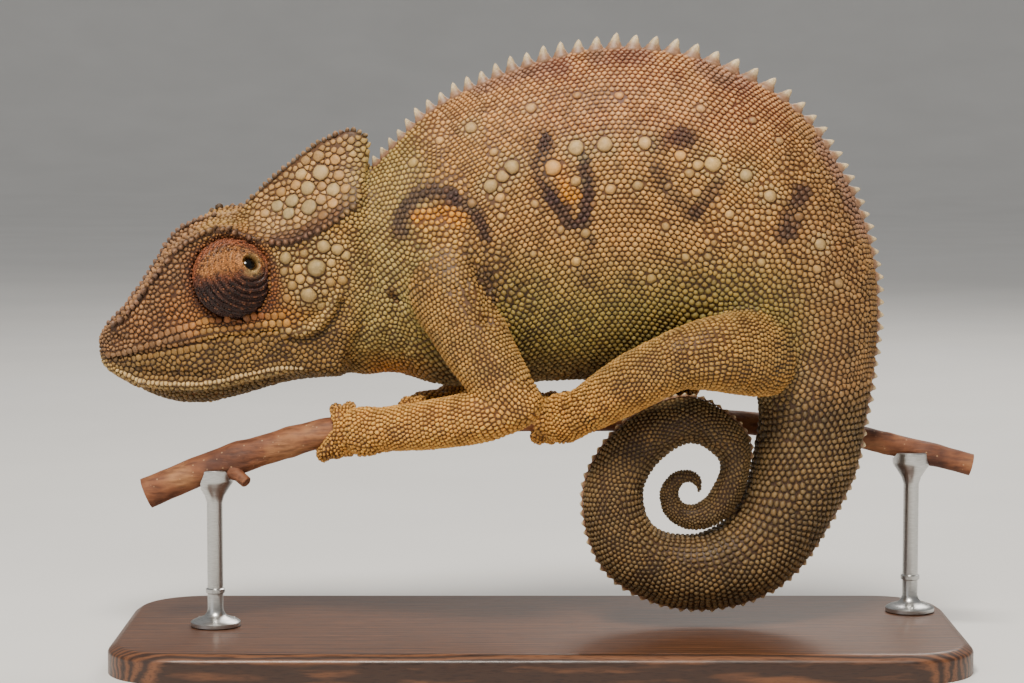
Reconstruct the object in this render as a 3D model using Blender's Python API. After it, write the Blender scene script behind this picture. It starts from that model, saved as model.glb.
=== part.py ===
"""A male Oustalet's chameleon at life size, gripping a cut length of branch on a display stand.

The model is still. Its frame has +Z up, the head towards -X and the animal's left side
towards -Y, with the origin at the middle of the base's underside. Every size below is in
millimetres and is turned into metres when a mesh is made.
"""
import math

import bmesh
import bpy
import numpy as np
from mathutils import Matrix, Vector

MM = 0.001
GAP = 0.3            # left open between neighbouring pieces

# Body from neck to tail root. Each row is one section: the dorsal point (x, z), the ventral
# point (x, z), half the width and the roll in degrees that the section shares with the head.
TRUNK = (
    (-48.0, 135.8, -54.5, 79.5, 17.0, 13.0),
    (-40.0, 143.6, -43.8, 80.1, 17.6, 6.0),
    (-30.0, 152.8, -28.0, 75.8, 18.8, 1.5),
    (-14.0, 160.9, -11.2, 75.9, 20.6, 0.0),
    (1.4, 166.4, 4.5, 77.0, 21.6, 0.0),
    (19.6, 169.6, 19.6, 77.3, 22.0, 0.0),
    (37.0, 168.3, 32.2, 77.6, 21.6, 0.0),
    (54.4, 163.0, 42.0, 78.1, 20.4, 0.0),
    (72.8, 151.2, 49.3, 78.4, 18.4, 0.0),
    (85.4, 133.0, 54.6, 78.1, 16.4, 0.0),
    (92.4, 114.8, 58.2, 76.4, 15.0, 0.0),
    (94.6, 96.6, 60.8, 72.8, 14.0, 0.0),
    (93.5, 79.8, 61.6, 68.0, 13.0, 0.0),
    (91.3, 64.4, 61.0, 61.3, 12.3, 0.0),
)
NECK_END = 1.3       # section number where the neck meets the torso
TORSO_END = 12.0     # section number where the torso meets the tail

# The coiled tail: turn angle in degrees, distance from the coil's centre, half depth, half width
# and the sideways drift of its middle line. The angle runs from the rear down, forward and up.
COIL_CENTRE = (42.0, 46.2)
COIL = (
    (0, 30.2, 14.4, 11.6, -1.0),
    (45, 25.2, 12.2, 10.3, -2.6),
    (90, 23.0, 10.6, 9.1, -4.0),
    (135, 23.5, 9.4, 8.3, -5.2),
    (180, 21.8, 8.5, 7.6, -6.0),
    (225, 19.8, 7.6, 6.9, -6.2),
    (270, 20.5, 6.7, 6.2, -6.2),
    (315, 17.2, 5.6, 5.4, -6.0),
    (360, 10.2, 4.8, 4.6, -6.0),
    (405, 8.0, 4.2, 4.0, -6.0),
    (450, 7.2, 3.7, 3.5, -6.0),
    (495, 6.7, 3.2, 3.0, -6.0),
    (540, 6.0, 2.8, 2.6, -6.0),
    (585, 5.3, 2.4, 2.2, -6.0),
    (630, 4.5, 2.0, 1.9, -6.0),
    (675, 3.5, 1.6, 1.5, -6.0),
    (735, 2.0, 1.0, 1.0, -6.0),
)
TAIL_SPLITS = (0, 60, 120, 180, 240, 300, 360, 450, 560, 735)   # turn angles where lengths meet

# Half width of a section as a share of its greatest, by height from belly 0 to back 1.
BODY_SECTION = ((0.0, 0.0), (0.02, 0.27), (0.07, 0.50), (0.15, 0.72), (0.27, 0.91), (0.42, 1.0),
                (0.57, 0.97), (0.71, 0.84), (0.83, 0.63), (0.92, 0.40), (0.975, 0.19), (1.0, 0.0))
TAIL_SECTION = ((0.0, 0.0), (0.04, 0.42), (0.15, 0.74), (0.32, 0.95), (0.5, 1.0),
                (0.68, 0.92), (0.84, 0.68), (0.95, 0.36), (1.0, 0.0))

# Spines along the back and the tail's outer edge: place on the body, spacing and height.
SPINES = (
    (0.0, 3.6, 2.4), (1.3, 4.0, 2.9), (2.6, 5.0, 3.5), (4.5, 5.9, 3.9), (8.0, 5.9, 3.8),
    (9.5, 5.0, 3.2), (11.0, 4.2, 2.4), (12.5, 4.2, 1.9), (15.0, 4.0, 1.5), (20.0, 3.6, 1.0),
)
SPINE_WIDTH = 0.62            # of its length along the back
SPINE_LEAN = 0.12             # of its height, towards the tail
SPINE_ROOT = 1.5              # sunk into the back
SPINE_MARGIN = 1.0            # kept free at each end of a node, beside half a spacing
SPINES_START = 0.2            # clear of the casque
LAST_SPINED_TAIL = 5          # the inner turns of the coil are smooth

# The head, section by section along x: mouth line height, crest height and half width (the
# canthal and supraorbital ridge in front, the casque's lateral crest behind), midline height of
# the roof, half widths of lip and cheek, height of the jaw's edge and of the throat's midline.
HEAD = (
    (-124.0, 83.0, 87.6, 2.2, 88.0, 2.4, 2.6, 81.8, 80.2),
    (-121.6, 83.3, 91.2, 4.2, 91.9, 4.6, 4.6, 80.4, 78.0),
    (-117.0, 84.5, 94.9, 5.6, 96.3, 7.0, 6.6, 78.8, 75.4),
    (-112.8, 86.0, 100.0, 6.6, 102.0, 8.8, 8.2, 77.4, 73.2),
    (-107.0, 87.8, 108.2, 8.2, 111.0, 10.8, 9.6, 77.1, 70.8),
    (-101.9, 89.2, 115.2, 9.6, 118.7, 12.2, 10.8, 77.2, 69.4),
    (-96.6, 90.8, 119.6, 10.6, 122.0, 13.6, 11.8, 77.5, 68.9),
    (-90.7, 92.4, 122.8, 11.6, 123.9, 14.8, 12.8, 78.2, 69.2),
    (-86.2, 93.2, 123.0, 12.4, 124.4, 15.4, 13.6, 79.2, 70.4),
    (-77.8, 94.8, 120.4, 14.0, 132.4, 16.4, 15.8, 81.6, 72.7),
    (-70.0, 95.8, 120.4, 15.4, 139.8, 17.2, 17.8, 83.4, 75.4),
    (-62.4, 96.0, 123.4, 16.2, 145.6, 17.4, 18.8, 83.4, 77.2),
    (-55.2, 95.4, 128.0, 14.6, 147.8, 16.8, 18.2, 82.8, 78.4),
    (-51.0, 94.6, 131.2, 12.4, 146.0, 16.2, 17.4, 82.4, 78.8),
)
HEAD_MID_Z = 110.0            # height at which a section's x is measured
HEAD_REAR_LEAN = 0.115        # how far the rear section leans back per unit of height
HEAD_ROLL = 13.0              # the head is tipped to the animal's left
HEAD_STATIONS = 17

EYE_CENTRE = (-84.0, 10.9, 108.6)
EYE_RADIUS = 11.0             # across the turret
EYE_DEPTH = 8.8               # half its depth, into the head
GAZE_LEFT = (0.47, -0.69, 0.55)
GAZE_RIGHT = (-0.30, 0.86, 0.42)
PUPIL_OPENING = 1.9
EYEBALL_RADIUS = 3.0
NOSTRIL = (-118.0, 5.6, 89.4)

# Rows of beads on the head: the ridge, where it starts and ends along x, and how many.
HEAD_BEADS = (("crest", -116.0, -88.0, 8), ("crest", -76.0, -53.6, 7), ("roof", -83.0, -54.0, 9))
BEAD_RADIUS = 1.25
BEAD_HEIGHT = 1.1
# Raised plates on each side of the head: place along x, level (0 lip, 1 crest, 2 roof), radius.
CHEEK_PLATES = ((-63.0, 0.66, 3.1), (-64.6, 0.38, 2.6), (-60.0, 0.87, 2.0), (-57.0, 0.56, 1.9),
                (-69.6, 0.80, 1.9), (-69.6, 0.52, 1.8))
CASQUE_ROWS = ((1.24, -71.0, -55.6, 4), (1.50, -67.6, -55.2, 3), (1.76, -64.0, -57.0, 2))
CASQUE_PLATE_RADIUS = 2.2
PLATE_HEIGHT = 0.45
PLATE_ROOT = 0.9
THROAT_SPINES = (-111.0, -84.0, 8)
THROAT_SPINE_HEIGHT = 1.5

# The branch: points (x, y, z) and radius.
BRANCH = (
    (-110.0, -5.2, 45.8, 4.3), (-95.2, -4.6, 51.8, 4.2), (-78.4, -3.8, 57.4, 4.2),
    (-58.8, -2.8, 62.6, 4.0), (-30.0, -1.2, 65.4, 3.8), (0.0, 0.3, 66.2, 3.7),
    (20.0, 4.5, 65.6, 3.5), (44.8, 12.5, 64.0, 3.4), (62.0, 16.8, 62.6, 3.3),
    (91.0, 18.6, 58.8, 3.2), (124.0, 17.0, 50.8, 3.1),
)
BRANCH_STATIONS = 26
BRANCH_SIDES = 10

BASE_LENGTH = 236.0
BASE_WIDTH = 94.0
BASE_THICKNESS = 8.0
BASE_CORNER = 20.0
ROD_RADIUS = 2.2
ROD_PLACES = {"left": -91.0, "right": 107.0}
FLANGE_RADIUS = 7.0
CUP_RADIUS = 5.4

# Limbs: each row is a point (x, y, z), the radius sideways and the radius across.
UPPER_ARM = {
    "left": ((-30.0, -9.0, 114.0, 7.0, 10.0), (-26.5, -15.0, 106.0, 8.6, 11.8),
             (-17.5, -21.0, 89.0, 8.4, 9.8), (-9.8, -24.5, 77.0, 7.4, 8.2),
             (-7.0, -25.2, 74.0, 6.8, 7.2)),
    "right": ((-30.0, 9.0, 114.0, 7.0, 10.0), (-26.5, 16.0, 107.0, 8.6, 11.8),
              (-16.0, 26.0, 93.0, 8.4, 9.6), (-6.5, 34.0, 82.0, 7.4, 8.0),
              (-4.5, 36.0, 80.0, 6.8, 7.0)),
}
FOREARM = {
    "left": ((-6.4, -25.2, 73.2, 6.8, 7.0), (-16.0, -23.6, 69.6, 7.2, 7.4),
             (-30.0, -19.0, 66.6, 6.4, 6.8), (-42.6, -13.6, 64.8, 5.6, 6.3)),
    "right": ((-4.2, 36.4, 79.4, 6.8, 7.0), (-10.0, 31.0, 76.0, 7.2, 7.4),
              (-18.5, 23.0, 71.0, 6.4, 6.8), (-26.0, 14.5, 67.6, 5.6, 6.3)),
}
THIGH = {
    "left": ((72.0, -2.0, 86.0, 5.0, 9.0), (62.0, -12.0, 86.0, 8.8, 12.4),
             (48.0, -22.5, 86.5, 8.8, 10.4), (37.0, -27.0, 85.4, 7.6, 8.2)),
    "right": ((72.0, 2.0, 86.0, 5.0, 9.0), (65.0, 13.0, 88.0, 8.8, 12.4),
              (56.0, 26.5, 92.0, 8.8, 10.4), (48.5, 36.0, 94.6, 7.6, 8.2)),
}
SHANK = {
    "left": ((36.4, -27.0, 85.0, 7.4, 8.0), (25.0, -22.0, 78.6, 7.2, 8.0),
             (12.6, -14.8, 70.2, 5.9, 6.6)),
    "right": ((48.2, 36.4, 94.0, 7.4, 8.0), (44.0, 30.0, 83.5, 7.2, 8.0),
              (39.2, 22.2, 72.0, 5.9, 6.6)),
}
# Palms, from the wrist or ankle to the roots of the toes.
PALM = {
    "hand_left": ((-42.0, -13.8, 64.8, 5.2, 6.0), (-48.0, -11.2, 63.8, 4.8, 7.0),
                  (-51.5, -9.9, 63.2, 4.0, 6.8), (-53.5, -9.4, 62.8, 2.8, 4.6)),
    "hand_right": ((-26.4, 14.0, 67.4, 5.2, 6.0), (-30.0, 9.6, 66.4, 4.8, 7.0),
                   (-33.5, 7.4, 65.6, 4.2, 7.2), (-37.0, 6.4, 65.0, 3.2, 6.0)),
    "foot_left": ((12.2, -14.4, 69.8, 5.4, 6.2), (6.4, -10.6, 67.4, 4.8, 7.2),
                  (3.4, -8.8, 66.6, 4.0, 6.6), (1.2, -8.2, 66.2, 2.8, 4.4)),
    "foot_right": ((39.0, 21.8, 71.4, 5.4, 6.2), (36.0, 19.6, 67.8, 4.8, 7.0),
                   (33.0, 18.0, 65.6, 4.2, 7.0), (30.0, 16.6, 65.0, 3.2, 6.0)),
}
# Where each foot holds the branch, the side its palm is on, its toes below and above, and how
# far those below and those above slant along the branch.
GRIP = {
    "hand_left": (-51.5, -1, 3, 2, -6.7, -2.7),
    "hand_right": (-34.5, 1, 3, 2, -5.2, -0.6),
    "foot_left": (4.4, -1, 2, 3, -3.2, -1.0),
    "foot_right": (31.5, 1, 2, 3, -0.8, -1.5),
}
TOE_PITCH = 3.3
TOE_RADIUS = 2.25
TOE_TIP_RADIUS = 1.5
TOE_STATIONS = 4
TOE_SIDES = 6


def smooth_value(rows, t):
    """Read rows of (place, values...) at place t along a smooth curve through all of them."""
    table = np.asarray(rows, dtype=float)
    places, values = table[:, 0], table[:, 1:]
    slopes = np.gradient(values, places, axis=0)
    i = int(np.clip(np.searchsorted(places, t, side="right") - 1, 0, len(places) - 2))
    step = places[i + 1] - places[i]
    s = (t - places[i]) / step
    start = values[i] * (2 * s**3 - 3 * s**2 + 1) + slopes[i] * step * (s**3 - 2 * s**2 + s)
    end = values[i + 1] * (3 * s**2 - 2 * s**3) + slopes[i + 1] * step * (s**3 - s**2)
    return start + end


def coil_section(angle):
    """Give the tail's section at a turn angle in the form of a trunk row, with its drift."""
    reach, half_depth, half_width, drift = smooth_value(COIL, angle)
    out_x, out_z = math.cos(math.radians(angle)), -math.sin(math.radians(angle))
    cx, cz = COIL_CENTRE
    outer, inner = reach + half_depth, reach - half_depth
    return (cx + outer * out_x, cz + outer * out_z, cx + inner * out_x, cz + inner * out_z,
            half_width, 0.0, drift)


def body_rows():
    """Trunk and tail sections on one scale: trunk numbers, then one step per 45 degrees."""
    rows = [(float(i), *row, 0.0) for i, row in enumerate(TRUNK)]
    rows += [(len(TRUNK) + angle[0] / 45.0, *coil_section(angle[0])) for angle in COIL]
    return rows


BODY = body_rows()
COIL_START = float(len(TRUNK))


def coil_place(angle):
    """Place on the body scale of a turn angle of the tail."""
    return COIL_START + angle / 45.0


def section_half(t):
    """Half outline of the section at t, from belly to back, as (height share, width share)."""
    tail_share = min(max((t - TORSO_END + 1.0) / 3.0, 0.0), 1.0)
    heights = BODY_SECTION if tail_share < 0.5 else TAIL_SECTION
    half = []
    for height, _ in heights:
        body = float(np.interp(height, *zip(*BODY_SECTION)))
        tail = float(np.interp(height, *zip(*TAIL_SECTION)))
        half.append((height, body * (1 - tail_share) + tail * tail_share))
    return half


def body_frame(t):
    """Centre, direction up the section, direction along the body, length and half width at t."""
    top_x, top_z, low_x, low_z, half_width, roll, drift = smooth_value(BODY, t)
    top, low = Vector((top_x, drift, top_z)), Vector((low_x, drift, low_z))
    up = (top - low).normalized()
    along = Vector((up.z, 0.0, -up.x))
    return (top + low) / 2, up, along, (top - low).length, half_width, math.radians(roll)


def body_point(t, height, width, shift=0.0):
    """Point on the section at t, by height 0 to 1 and by width in half widths, + to the right."""
    centre, up, along, depth, half_width, roll = body_frame(t)
    v, s = (height - 0.5) * depth, width * half_width
    rise = v * math.cos(roll) + s * math.sin(roll)
    side = s * math.cos(roll) - v * math.sin(roll)
    return centre + up * rise + Vector((0.0, side, 0.0)) + along * shift


def body_ring(t, half, shift=0.0):
    """Closed ring of points round the body at t."""
    left = [body_point(t, h, -w, shift) for h, w in half]
    right = [body_point(t, h, w, shift) for h, w in half[-2:0:-1]]
    return left + right


def new_object(name, mesh):
    """Link a mesh to the scene as an object with that node name."""
    mesh.name = name
    obj = bpy.data.objects.new(name, mesh)
    bpy.context.scene.collection.objects.link(obj)
    return obj


def finish_mesh(name, bm):
    """Turn a bmesh in millimetres into an object in metres with its faces outwards."""
    bmesh.ops.recalc_face_normals(bm, faces=bm.faces)
    bmesh.ops.scale(bm, vec=(MM, MM, MM), verts=bm.verts)
    mesh = bpy.data.meshes.new(name)
    bm.to_mesh(mesh)
    bm.free()
    mesh.shade_smooth()
    return new_object(name, mesh)


def loft(name, rings):
    """Skin closed rings of equal count in order and cap both ends."""
    bm = bmesh.new()
    loops = [[bm.verts.new(point) for point in ring] for ring in rings]
    count = len(loops[0])
    for near, far in zip(loops, loops[1:]):
        for i in range(count):
            j = (i + 1) % count
            bm.faces.new((near[i], near[j], far[j], far[i]))
    for loop in (loops[0], loops[-1]):
        bm.faces.new(loop)
    caps = list(bm.faces)[-2:]
    bmesh.ops.triangulate(bm, faces=caps, quad_method="BEAUTY", ngon_method="EAR_CLIP")
    return finish_mesh(name, bm)


def apply_modifiers(obj):
    """Bake an object's modifiers into its mesh."""
    graph = bpy.context.evaluated_depsgraph_get()
    baked = bpy.data.meshes.new_from_object(obj.evaluated_get(graph))
    obj.modifiers.clear()
    obj.data = baked
    baked.name = obj.name


def keep_largest(obj):
    """Keep only the closed surface with the greatest volume."""
    bm = bmesh.new()
    bm.from_mesh(obj.data)
    bm.faces.ensure_lookup_table()
    waiting = set(bm.faces)
    shells = []
    while waiting:
        first = waiting.pop()
        shell, edge_of = {first}, [first]
        while edge_of:
            face = edge_of.pop()
            for edge in face.edges:
                for other in edge.link_faces:
                    if other in waiting:
                        waiting.discard(other)
                        shell.add(other)
                        edge_of.append(other)
        shells.append(shell)
    if len(shells) > 1:
        def volume(shell):
            total = 0.0
            for face in shell:
                a = face.verts[0].co
                for b, c in zip(face.verts[1:], face.verts[2:]):
                    total += a.dot(b.co.cross(c.co)) / 6.0
            return abs(total)
        largest = max(shells, key=volume)
        spare = [face for face in bm.faces if face not in largest]
        bmesh.ops.delete(bm, geom=spare, context="FACES")
        bmesh.ops.delete(bm, geom=[v for v in bm.verts if not v.link_faces], context="VERTS")
    bm.to_mesh(obj.data)
    bm.free()


def carve(obj, cutters, solver="EXACT"):
    """Cut each cutter away from the object."""
    for cutter in cutters:
        cutter.hide_render = True
        cutter.display_type = "WIRE"
        cut = obj.modifiers.new("cut", "BOOLEAN")
        cut.operation = "DIFFERENCE"
        cut.solver = solver
        cut.object = cutter
    apply_modifiers(obj)
    keep_largest(obj)


def fuse(obj, pieces, solver="EXACT"):
    """Join closed pieces to the object by one union and remove them."""
    group = bpy.data.collections.new(obj.name + " pieces")
    for piece in pieces:
        bpy.context.scene.collection.objects.unlink(piece)
        group.objects.link(piece)
    bpy.context.scene.collection.children.link(group)
    union = obj.modifiers.new("join", "BOOLEAN")
    union.operation = "UNION"
    union.operand_type = "COLLECTION"
    union.solver = solver
    union.collection = group
    apply_modifiers(obj)
    for piece in pieces:
        bpy.data.objects.remove(piece)
    bpy.data.collections.remove(group)
    keep_largest(obj)


def grown(obj, distance=GAP * 1.15):
    """Copy an object with its surface moved outwards, to cut room for a neighbour."""
    bm = bmesh.new()
    bm.from_mesh(obj.data)
    bm.normal_update()
    moves = [vert.normal * distance * MM for vert in bm.verts]
    for vert, move in zip(bm.verts, moves):
        vert.co += move
    mesh = bpy.data.meshes.new(obj.name + " room")
    bm.to_mesh(mesh)
    bm.free()
    return new_object(obj.name + " room", mesh)


def remove(objects):
    """Remove helper objects."""
    for obj in objects:
        bpy.data.objects.remove(obj)


def dress(obj, colour, roughness, metallic=0.0):
    """Give an object its own material."""
    material = bpy.data.materials.new(obj.name)
    material.use_nodes = True
    shader = material.node_tree.nodes["Principled BSDF"]
    shader.inputs["Base Color"].default_value = (*colour, 1.0)
    shader.inputs["Roughness"].default_value = roughness
    shader.inputs["Metallic"].default_value = metallic
    obj.data.materials.clear()
    obj.data.materials.append(material)


def body_length(name, start, end, step, start_shift=GAP / 2, end_shift=-GAP / 2):
    """One length of the body between two places, with a little room left at each end."""
    count = max(int(math.ceil((end - start) / step)), 2)
    half = section_half((start + end) / 2)
    rings = []
    for i in range(count + 1):
        t = start + (end - start) * i / count
        shift = start_shift if i == 0 else end_shift if i == count else 0.0
        rings.append(body_ring(t, half, shift))
    return loft(name, rings)


def limb_rings(rows, count, sides=10, grow=0.0, domes=True):
    """Rings along a limb: the radius sideways lies nearest to the Y direction."""
    places = [(float(i), *row) for i, row in enumerate(rows)]
    last = len(rows) - 1.0
    rings = []
    ends = (0.35, 0.75) if domes else ()
    marks = [(last * i / (count - 1), 1.0, 0.0) for i in range(count)]
    for share in ends:
        marks.insert(0, (0.0, math.sqrt(1 - share**2), -share))
        marks.append((last, math.sqrt(1 - share**2), share))
    marks[: len(ends)] = sorted(marks[: len(ends)], key=lambda mark: mark[2])
    for t, size, beyond in marks:
        x, y, z, side_radius, cross_radius = smooth_value(places, t)
        ahead = smooth_value(places, min(t + 0.02, last))[:3]
        behind = smooth_value(places, max(t - 0.02, 0.0))[:3]
        along = Vector(ahead - behind).normalized()
        sideways = (Vector((0, 1, 0)) - along * along.y).normalized()
        across = along.cross(sideways)
        reach = (side_radius + cross_radius) / 2
        centre = Vector((x, y, z)) + along * (beyond * reach)
        ring = []
        for k in range(sides):
            angle = math.tau * k / sides
            ring.append(centre + sideways * ((side_radius * size + grow) * math.cos(angle))
                        + across * ((cross_radius * size + grow) * math.sin(angle)))
        rings.append(ring)
    return rings


def limb(name, rows, count=7, sides=10):
    """A tapered, round-ended length of limb."""
    return loft(name, limb_rings(rows, count, sides))


def limb_room(rows, count):
    """The room that a length of limb takes up, for cutting its neighbour."""
    plain = limb("plain limb", rows, count)
    room = grown(plain)
    remove([plain])
    return room


def branch_frame(x):
    """Point on the branch's middle line at x, its radius and the directions along, side, down."""
    rows = [(row[0], *row) for row in BRANCH]
    px, py, pz, radius = smooth_value(rows, x)
    step = 0.5
    ahead = smooth_value(rows, x + step)[:3]
    behind = smooth_value(rows, x - step)[:3]
    along = Vector(ahead - behind).normalized()
    side = (Vector((0, 1, 0)) - along * along.y).normalized()
    return Vector((px, py, pz)), radius, along, side, along.cross(side) * -1


def make_branch(name, grow=0.0):
    """The cut length of branch, with low swellings where twigs have been."""
    rings = []
    first, last = BRANCH[0][0], BRANCH[-1][0]
    for i in range(BRANCH_STATIONS):
        x = first + (last - first) * i / (BRANCH_STATIONS - 1)
        centre, radius, along, side, down = branch_frame(min(max(x, first + 0.5), last - 0.5))
        centre += along * (-0.5 if i == 0 else 0.5 if i == BRANCH_STATIONS - 1 else 0.0)
        swell = 1.0 + 0.10 * math.exp(-((x + 84.0) / 3.0) ** 2) + 0.08 * math.exp(-((x - 112.0) / 3.0) ** 2)
        ring = []
        for k in range(BRANCH_SIDES):
            angle = math.tau * k / BRANCH_SIDES
            uneven = 1.0 + 0.03 * math.sin(3 * angle + 0.21 * x)
            reach = radius * swell * uneven + grow
            ring.append(centre + side * (reach * math.cos(angle)) + down * (reach * math.sin(angle)))
        rings.append(ring)
    return loft(name, rings)


def cone_piece(name, base, tip, base_radius, tip_radius, flat, across, sides=5):
    """A tapered closed spike from base to tip, thinned by the factor flat across its plane."""
    axis = (tip - base).normalized()
    wide = (across - axis * across.dot(axis)).normalized()
    thin = axis.cross(wide)
    rings = []
    for share, radius in ((0.0, base_radius), (1.0, tip_radius)):
        centre = base + (tip - base) * share
        ring = []
        for k in range(sides):
            angle = math.tau * (k + 0.5) / sides
            ring.append(centre + wide * (radius * math.cos(angle))
                        + thin * (radius * flat * math.sin(angle)))
        rings.append(ring)
    return loft(name, rings)


def toe(name, grip_x, side_sign, turn_sign, offset, tip_angle, slant):
    """One toe curled round the branch from the palm to the far side, ending in its claw."""
    marks = []
    for i in range(TOE_STATIONS + 1):
        share = i / TOE_STATIONS
        angle = -18.0 + (tip_angle + 18.0) * share
        radius = TOE_RADIUS + (TOE_TIP_RADIUS - TOE_RADIUS) * share
        marks.append((angle, radius, radius, share))
    marks.append((tip_angle + 7.0, TOE_TIP_RADIUS, 0.85, 1.0))
    marks.append((tip_angle + 30.0, TOE_TIP_RADIUS, 0.25, 1.0))
    rings = []
    for degrees, lift, radius, share in marks:
        angle = math.radians(degrees)
        x = grip_x + offset * (1 + 0.25 * share)
        x += slant * math.sin(min(share / 0.55, 1.0) * math.pi / 2)
        centre, branch_radius, along, side, down = branch_frame(x)
        out = side * side_sign * math.cos(angle) + down * turn_sign * math.sin(angle)
        middle = centre + out * (branch_radius + GAP + lift * 0.96)
        ring = []
        for k in range(TOE_SIDES):
            spin = math.tau * k / TOE_SIDES
            ring.append(middle + out * (radius * math.cos(spin))
                        + along * (radius * 0.86 * math.sin(spin)))
        rings.append(ring)
    return loft(name, rings)


def make_foot(name, branch_room):
    """A gripping hand or foot: the palm and two opposed bundles of toes."""
    grip_x, side_sign, below, above, lean_below, lean_above = GRIP[name]
    foot = limb(name, PALM[name], count=5, sides=8)
    pieces = []
    for turn_sign, toes, reach, slant in ((1, below, 150.0, lean_below),
                                          (-1, above, 142.0, lean_above)):
        for k in range(toes):
            offset = (k - (toes - 1) / 2) * TOE_PITCH
            tip_angle = reach - 9.0 * abs(k - (toes - 1) / 2)
            pieces.append(toe("toe", grip_x, side_sign, turn_sign, offset, tip_angle, slant))
    fuse(foot, pieces, "MANIFOLD")
    carve(foot, [branch_room], "MANIFOLD")
    return foot


def spine_places(start, end):
    """Places of the spines on a stretch of the body, evenly spread at the local spacing."""
    marks = [start + (end - start) * i / 60 for i in range(61)]
    tops = [body_point(t, 1.0, 0.0) for t in marks]
    run = [0.0]
    for a, b in zip(tops, tops[1:]):
        run.append(run[-1] + (b - a).length)
    spacing = smooth_value(SPINES, (start + end) / 2)[0]
    usable = run[-1] - 2 * SPINE_MARGIN
    count = max(int(round(usable / spacing)), 1)
    reaches = [SPINE_MARGIN + usable * (i + 0.5) / count for i in range(count)]
    return [float(np.interp(reach, run, marks)) for reach in reaches]


def back_normal(t):
    """Direction out of the back at t, in the body's own plane."""
    ahead, behind = body_point(t + 0.05, 1.0, 0.0), body_point(t - 0.05, 1.0, 0.0)
    onward = (ahead - behind).normalized()
    _, up, _, _, _, _ = body_frame(t)
    return (up - onward * up.dot(onward)).normalized(), onward


def add_spines(obj, start, end):
    """Fuse the row of spines of one stretch into its node."""
    spines = []
    for i, t in enumerate(spine_places(start, end)):
        spacing, height = smooth_value(SPINES, t)
        height *= 1.0 + 0.08 * math.sin(2.4 * i)
        out, onward = back_normal(t)
        edge = body_point(t, 1.0, 0.0)
        base = edge - out * SPINE_ROOT
        tip = edge + out * height + onward * (SPINE_LEAN * height)
        spines.append(cone_piece("spine", base, tip, spacing * 0.40, 0.22, SPINE_WIDTH, onward, sides=4))
    fuse(obj, spines)


def head_surface(x, side_sign, level):
    """Point on the head's side at a level: 0 at the lip, 1 at the crest, 2 at the roof."""
    half = upper_head_half(x)
    crest = 9
    if level <= 1.0:
        chain, share = half[3:crest + 1], level
    else:
        chain, share = half[crest:], level - 1.0
    heights = [z for _, z in chain]
    z = heights[0] + (heights[-1] - heights[0]) * share
    w = float(np.interp(z, heights, [width for width, _ in chain]))
    return head_place(x, side_sign * w, z)


def head_normal(x, side_sign, level):
    """Direction out of the head's side at a level."""
    along = head_surface(x + 0.6, side_sign, level) - head_surface(x - 0.6, side_sign, level)
    upward = head_surface(x, side_sign, level + 0.04) - head_surface(x, side_sign, level - 0.04)
    out = along.cross(upward).normalized()
    return -out if out.y * side_sign < 0 else out


def head_beads():
    """Beads along the canthal and lateral crests of both sides and along the casque's ridge."""
    beads = []
    for ridge, first, last, count in HEAD_BEADS:
        for side_sign in ((-1, 1) if ridge == "crest" else (0,)):
            for i in range(count):
                x = first + (last - first) * i / (count - 1)
                v = head_values(x)
                if ridge == "crest":
                    point = head_place(x, side_sign * (v["crest_w"] + 0.1), v["crest_z"] - 0.1)
                    out = HEAD_TURN.to_3x3() @ Vector((0.0, side_sign * 0.75, 0.66))
                else:
                    point = head_place(x, 0.0, v["roof"] - 0.1)
                    out = HEAD_TURN.to_3x3() @ Vector((-0.25, 0.0, 0.97))
                size = 0.8 + 0.25 * math.sin(math.pi * i / (count - 1))
                base, tip = point - out * 1.1, point + out * (BEAD_HEIGHT * size)
                beads.append(cone_piece("bead", base, tip, BEAD_RADIUS * size * 1.15,
                                        BEAD_RADIUS * size * 0.42, 1.0, Vector((1, 0, 0)), sides=4))
    return beads


def head_plates():
    """Flat-topped plates on the cheeks and on the casque's sides."""
    places = list(CHEEK_PLATES)
    for row, (level, first, last, count) in enumerate(CASQUE_ROWS):
        for i in range(count):
            x = first + (last - first) * i / (count - 1)
            places.append((x, level, CASQUE_PLATE_RADIUS * (1.0 - 0.12 * ((i + row) % 2))))
    plates = []
    for side_sign in (-1, 1):
        for x, level, radius in places:
            point, out = head_surface(x, side_sign, level), head_normal(x, side_sign, level)
            plates.append(cone_piece("plate", point - out * PLATE_ROOT, point + out * PLATE_HEIGHT,
                                     radius * 1.1, radius * 0.72, 1.0, Vector((1, 0, 0)), sides=6))
    return plates


def throat_spines():
    """Small spines hanging along the middle of the throat."""
    first, last, count = THROAT_SPINES
    spines = []
    for i in range(count):
        x = first + (last - first) * i / (count - 1)
        point = head_place(x, 0.0, head_values(x)["throat"])
        out = HEAD_TURN.to_3x3() @ Vector((0.0, 0.0, -1.0))
        spines.append(cone_piece("throat spine", point - out * 1.2, point + out * THROAT_SPINE_HEIGHT,
                                 1.25, 0.25, 0.8, Vector((1, 0, 0)), sides=4))
    return spines


def head_values(x):
    """Named heights and widths of the head's section at x."""
    names = ("mouth", "crest_z", "crest_w", "roof", "lip", "cheek", "jaw_z", "throat")
    return dict(zip(names, smooth_value(HEAD, x)))


def head_turn():
    """Matrix that tips the head to its left about the middle of its rear plane."""
    pivot = Vector((HEAD[-1][0], 0.0, HEAD_MID_Z))
    axis = Vector((1.0, 0.0, -HEAD_REAR_LEAN)).normalized()
    turn = Matrix.Rotation(math.radians(HEAD_ROLL), 4, axis)
    return Matrix.Translation(pivot) @ turn @ Matrix.Translation(-pivot)


HEAD_TURN = head_turn()


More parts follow.
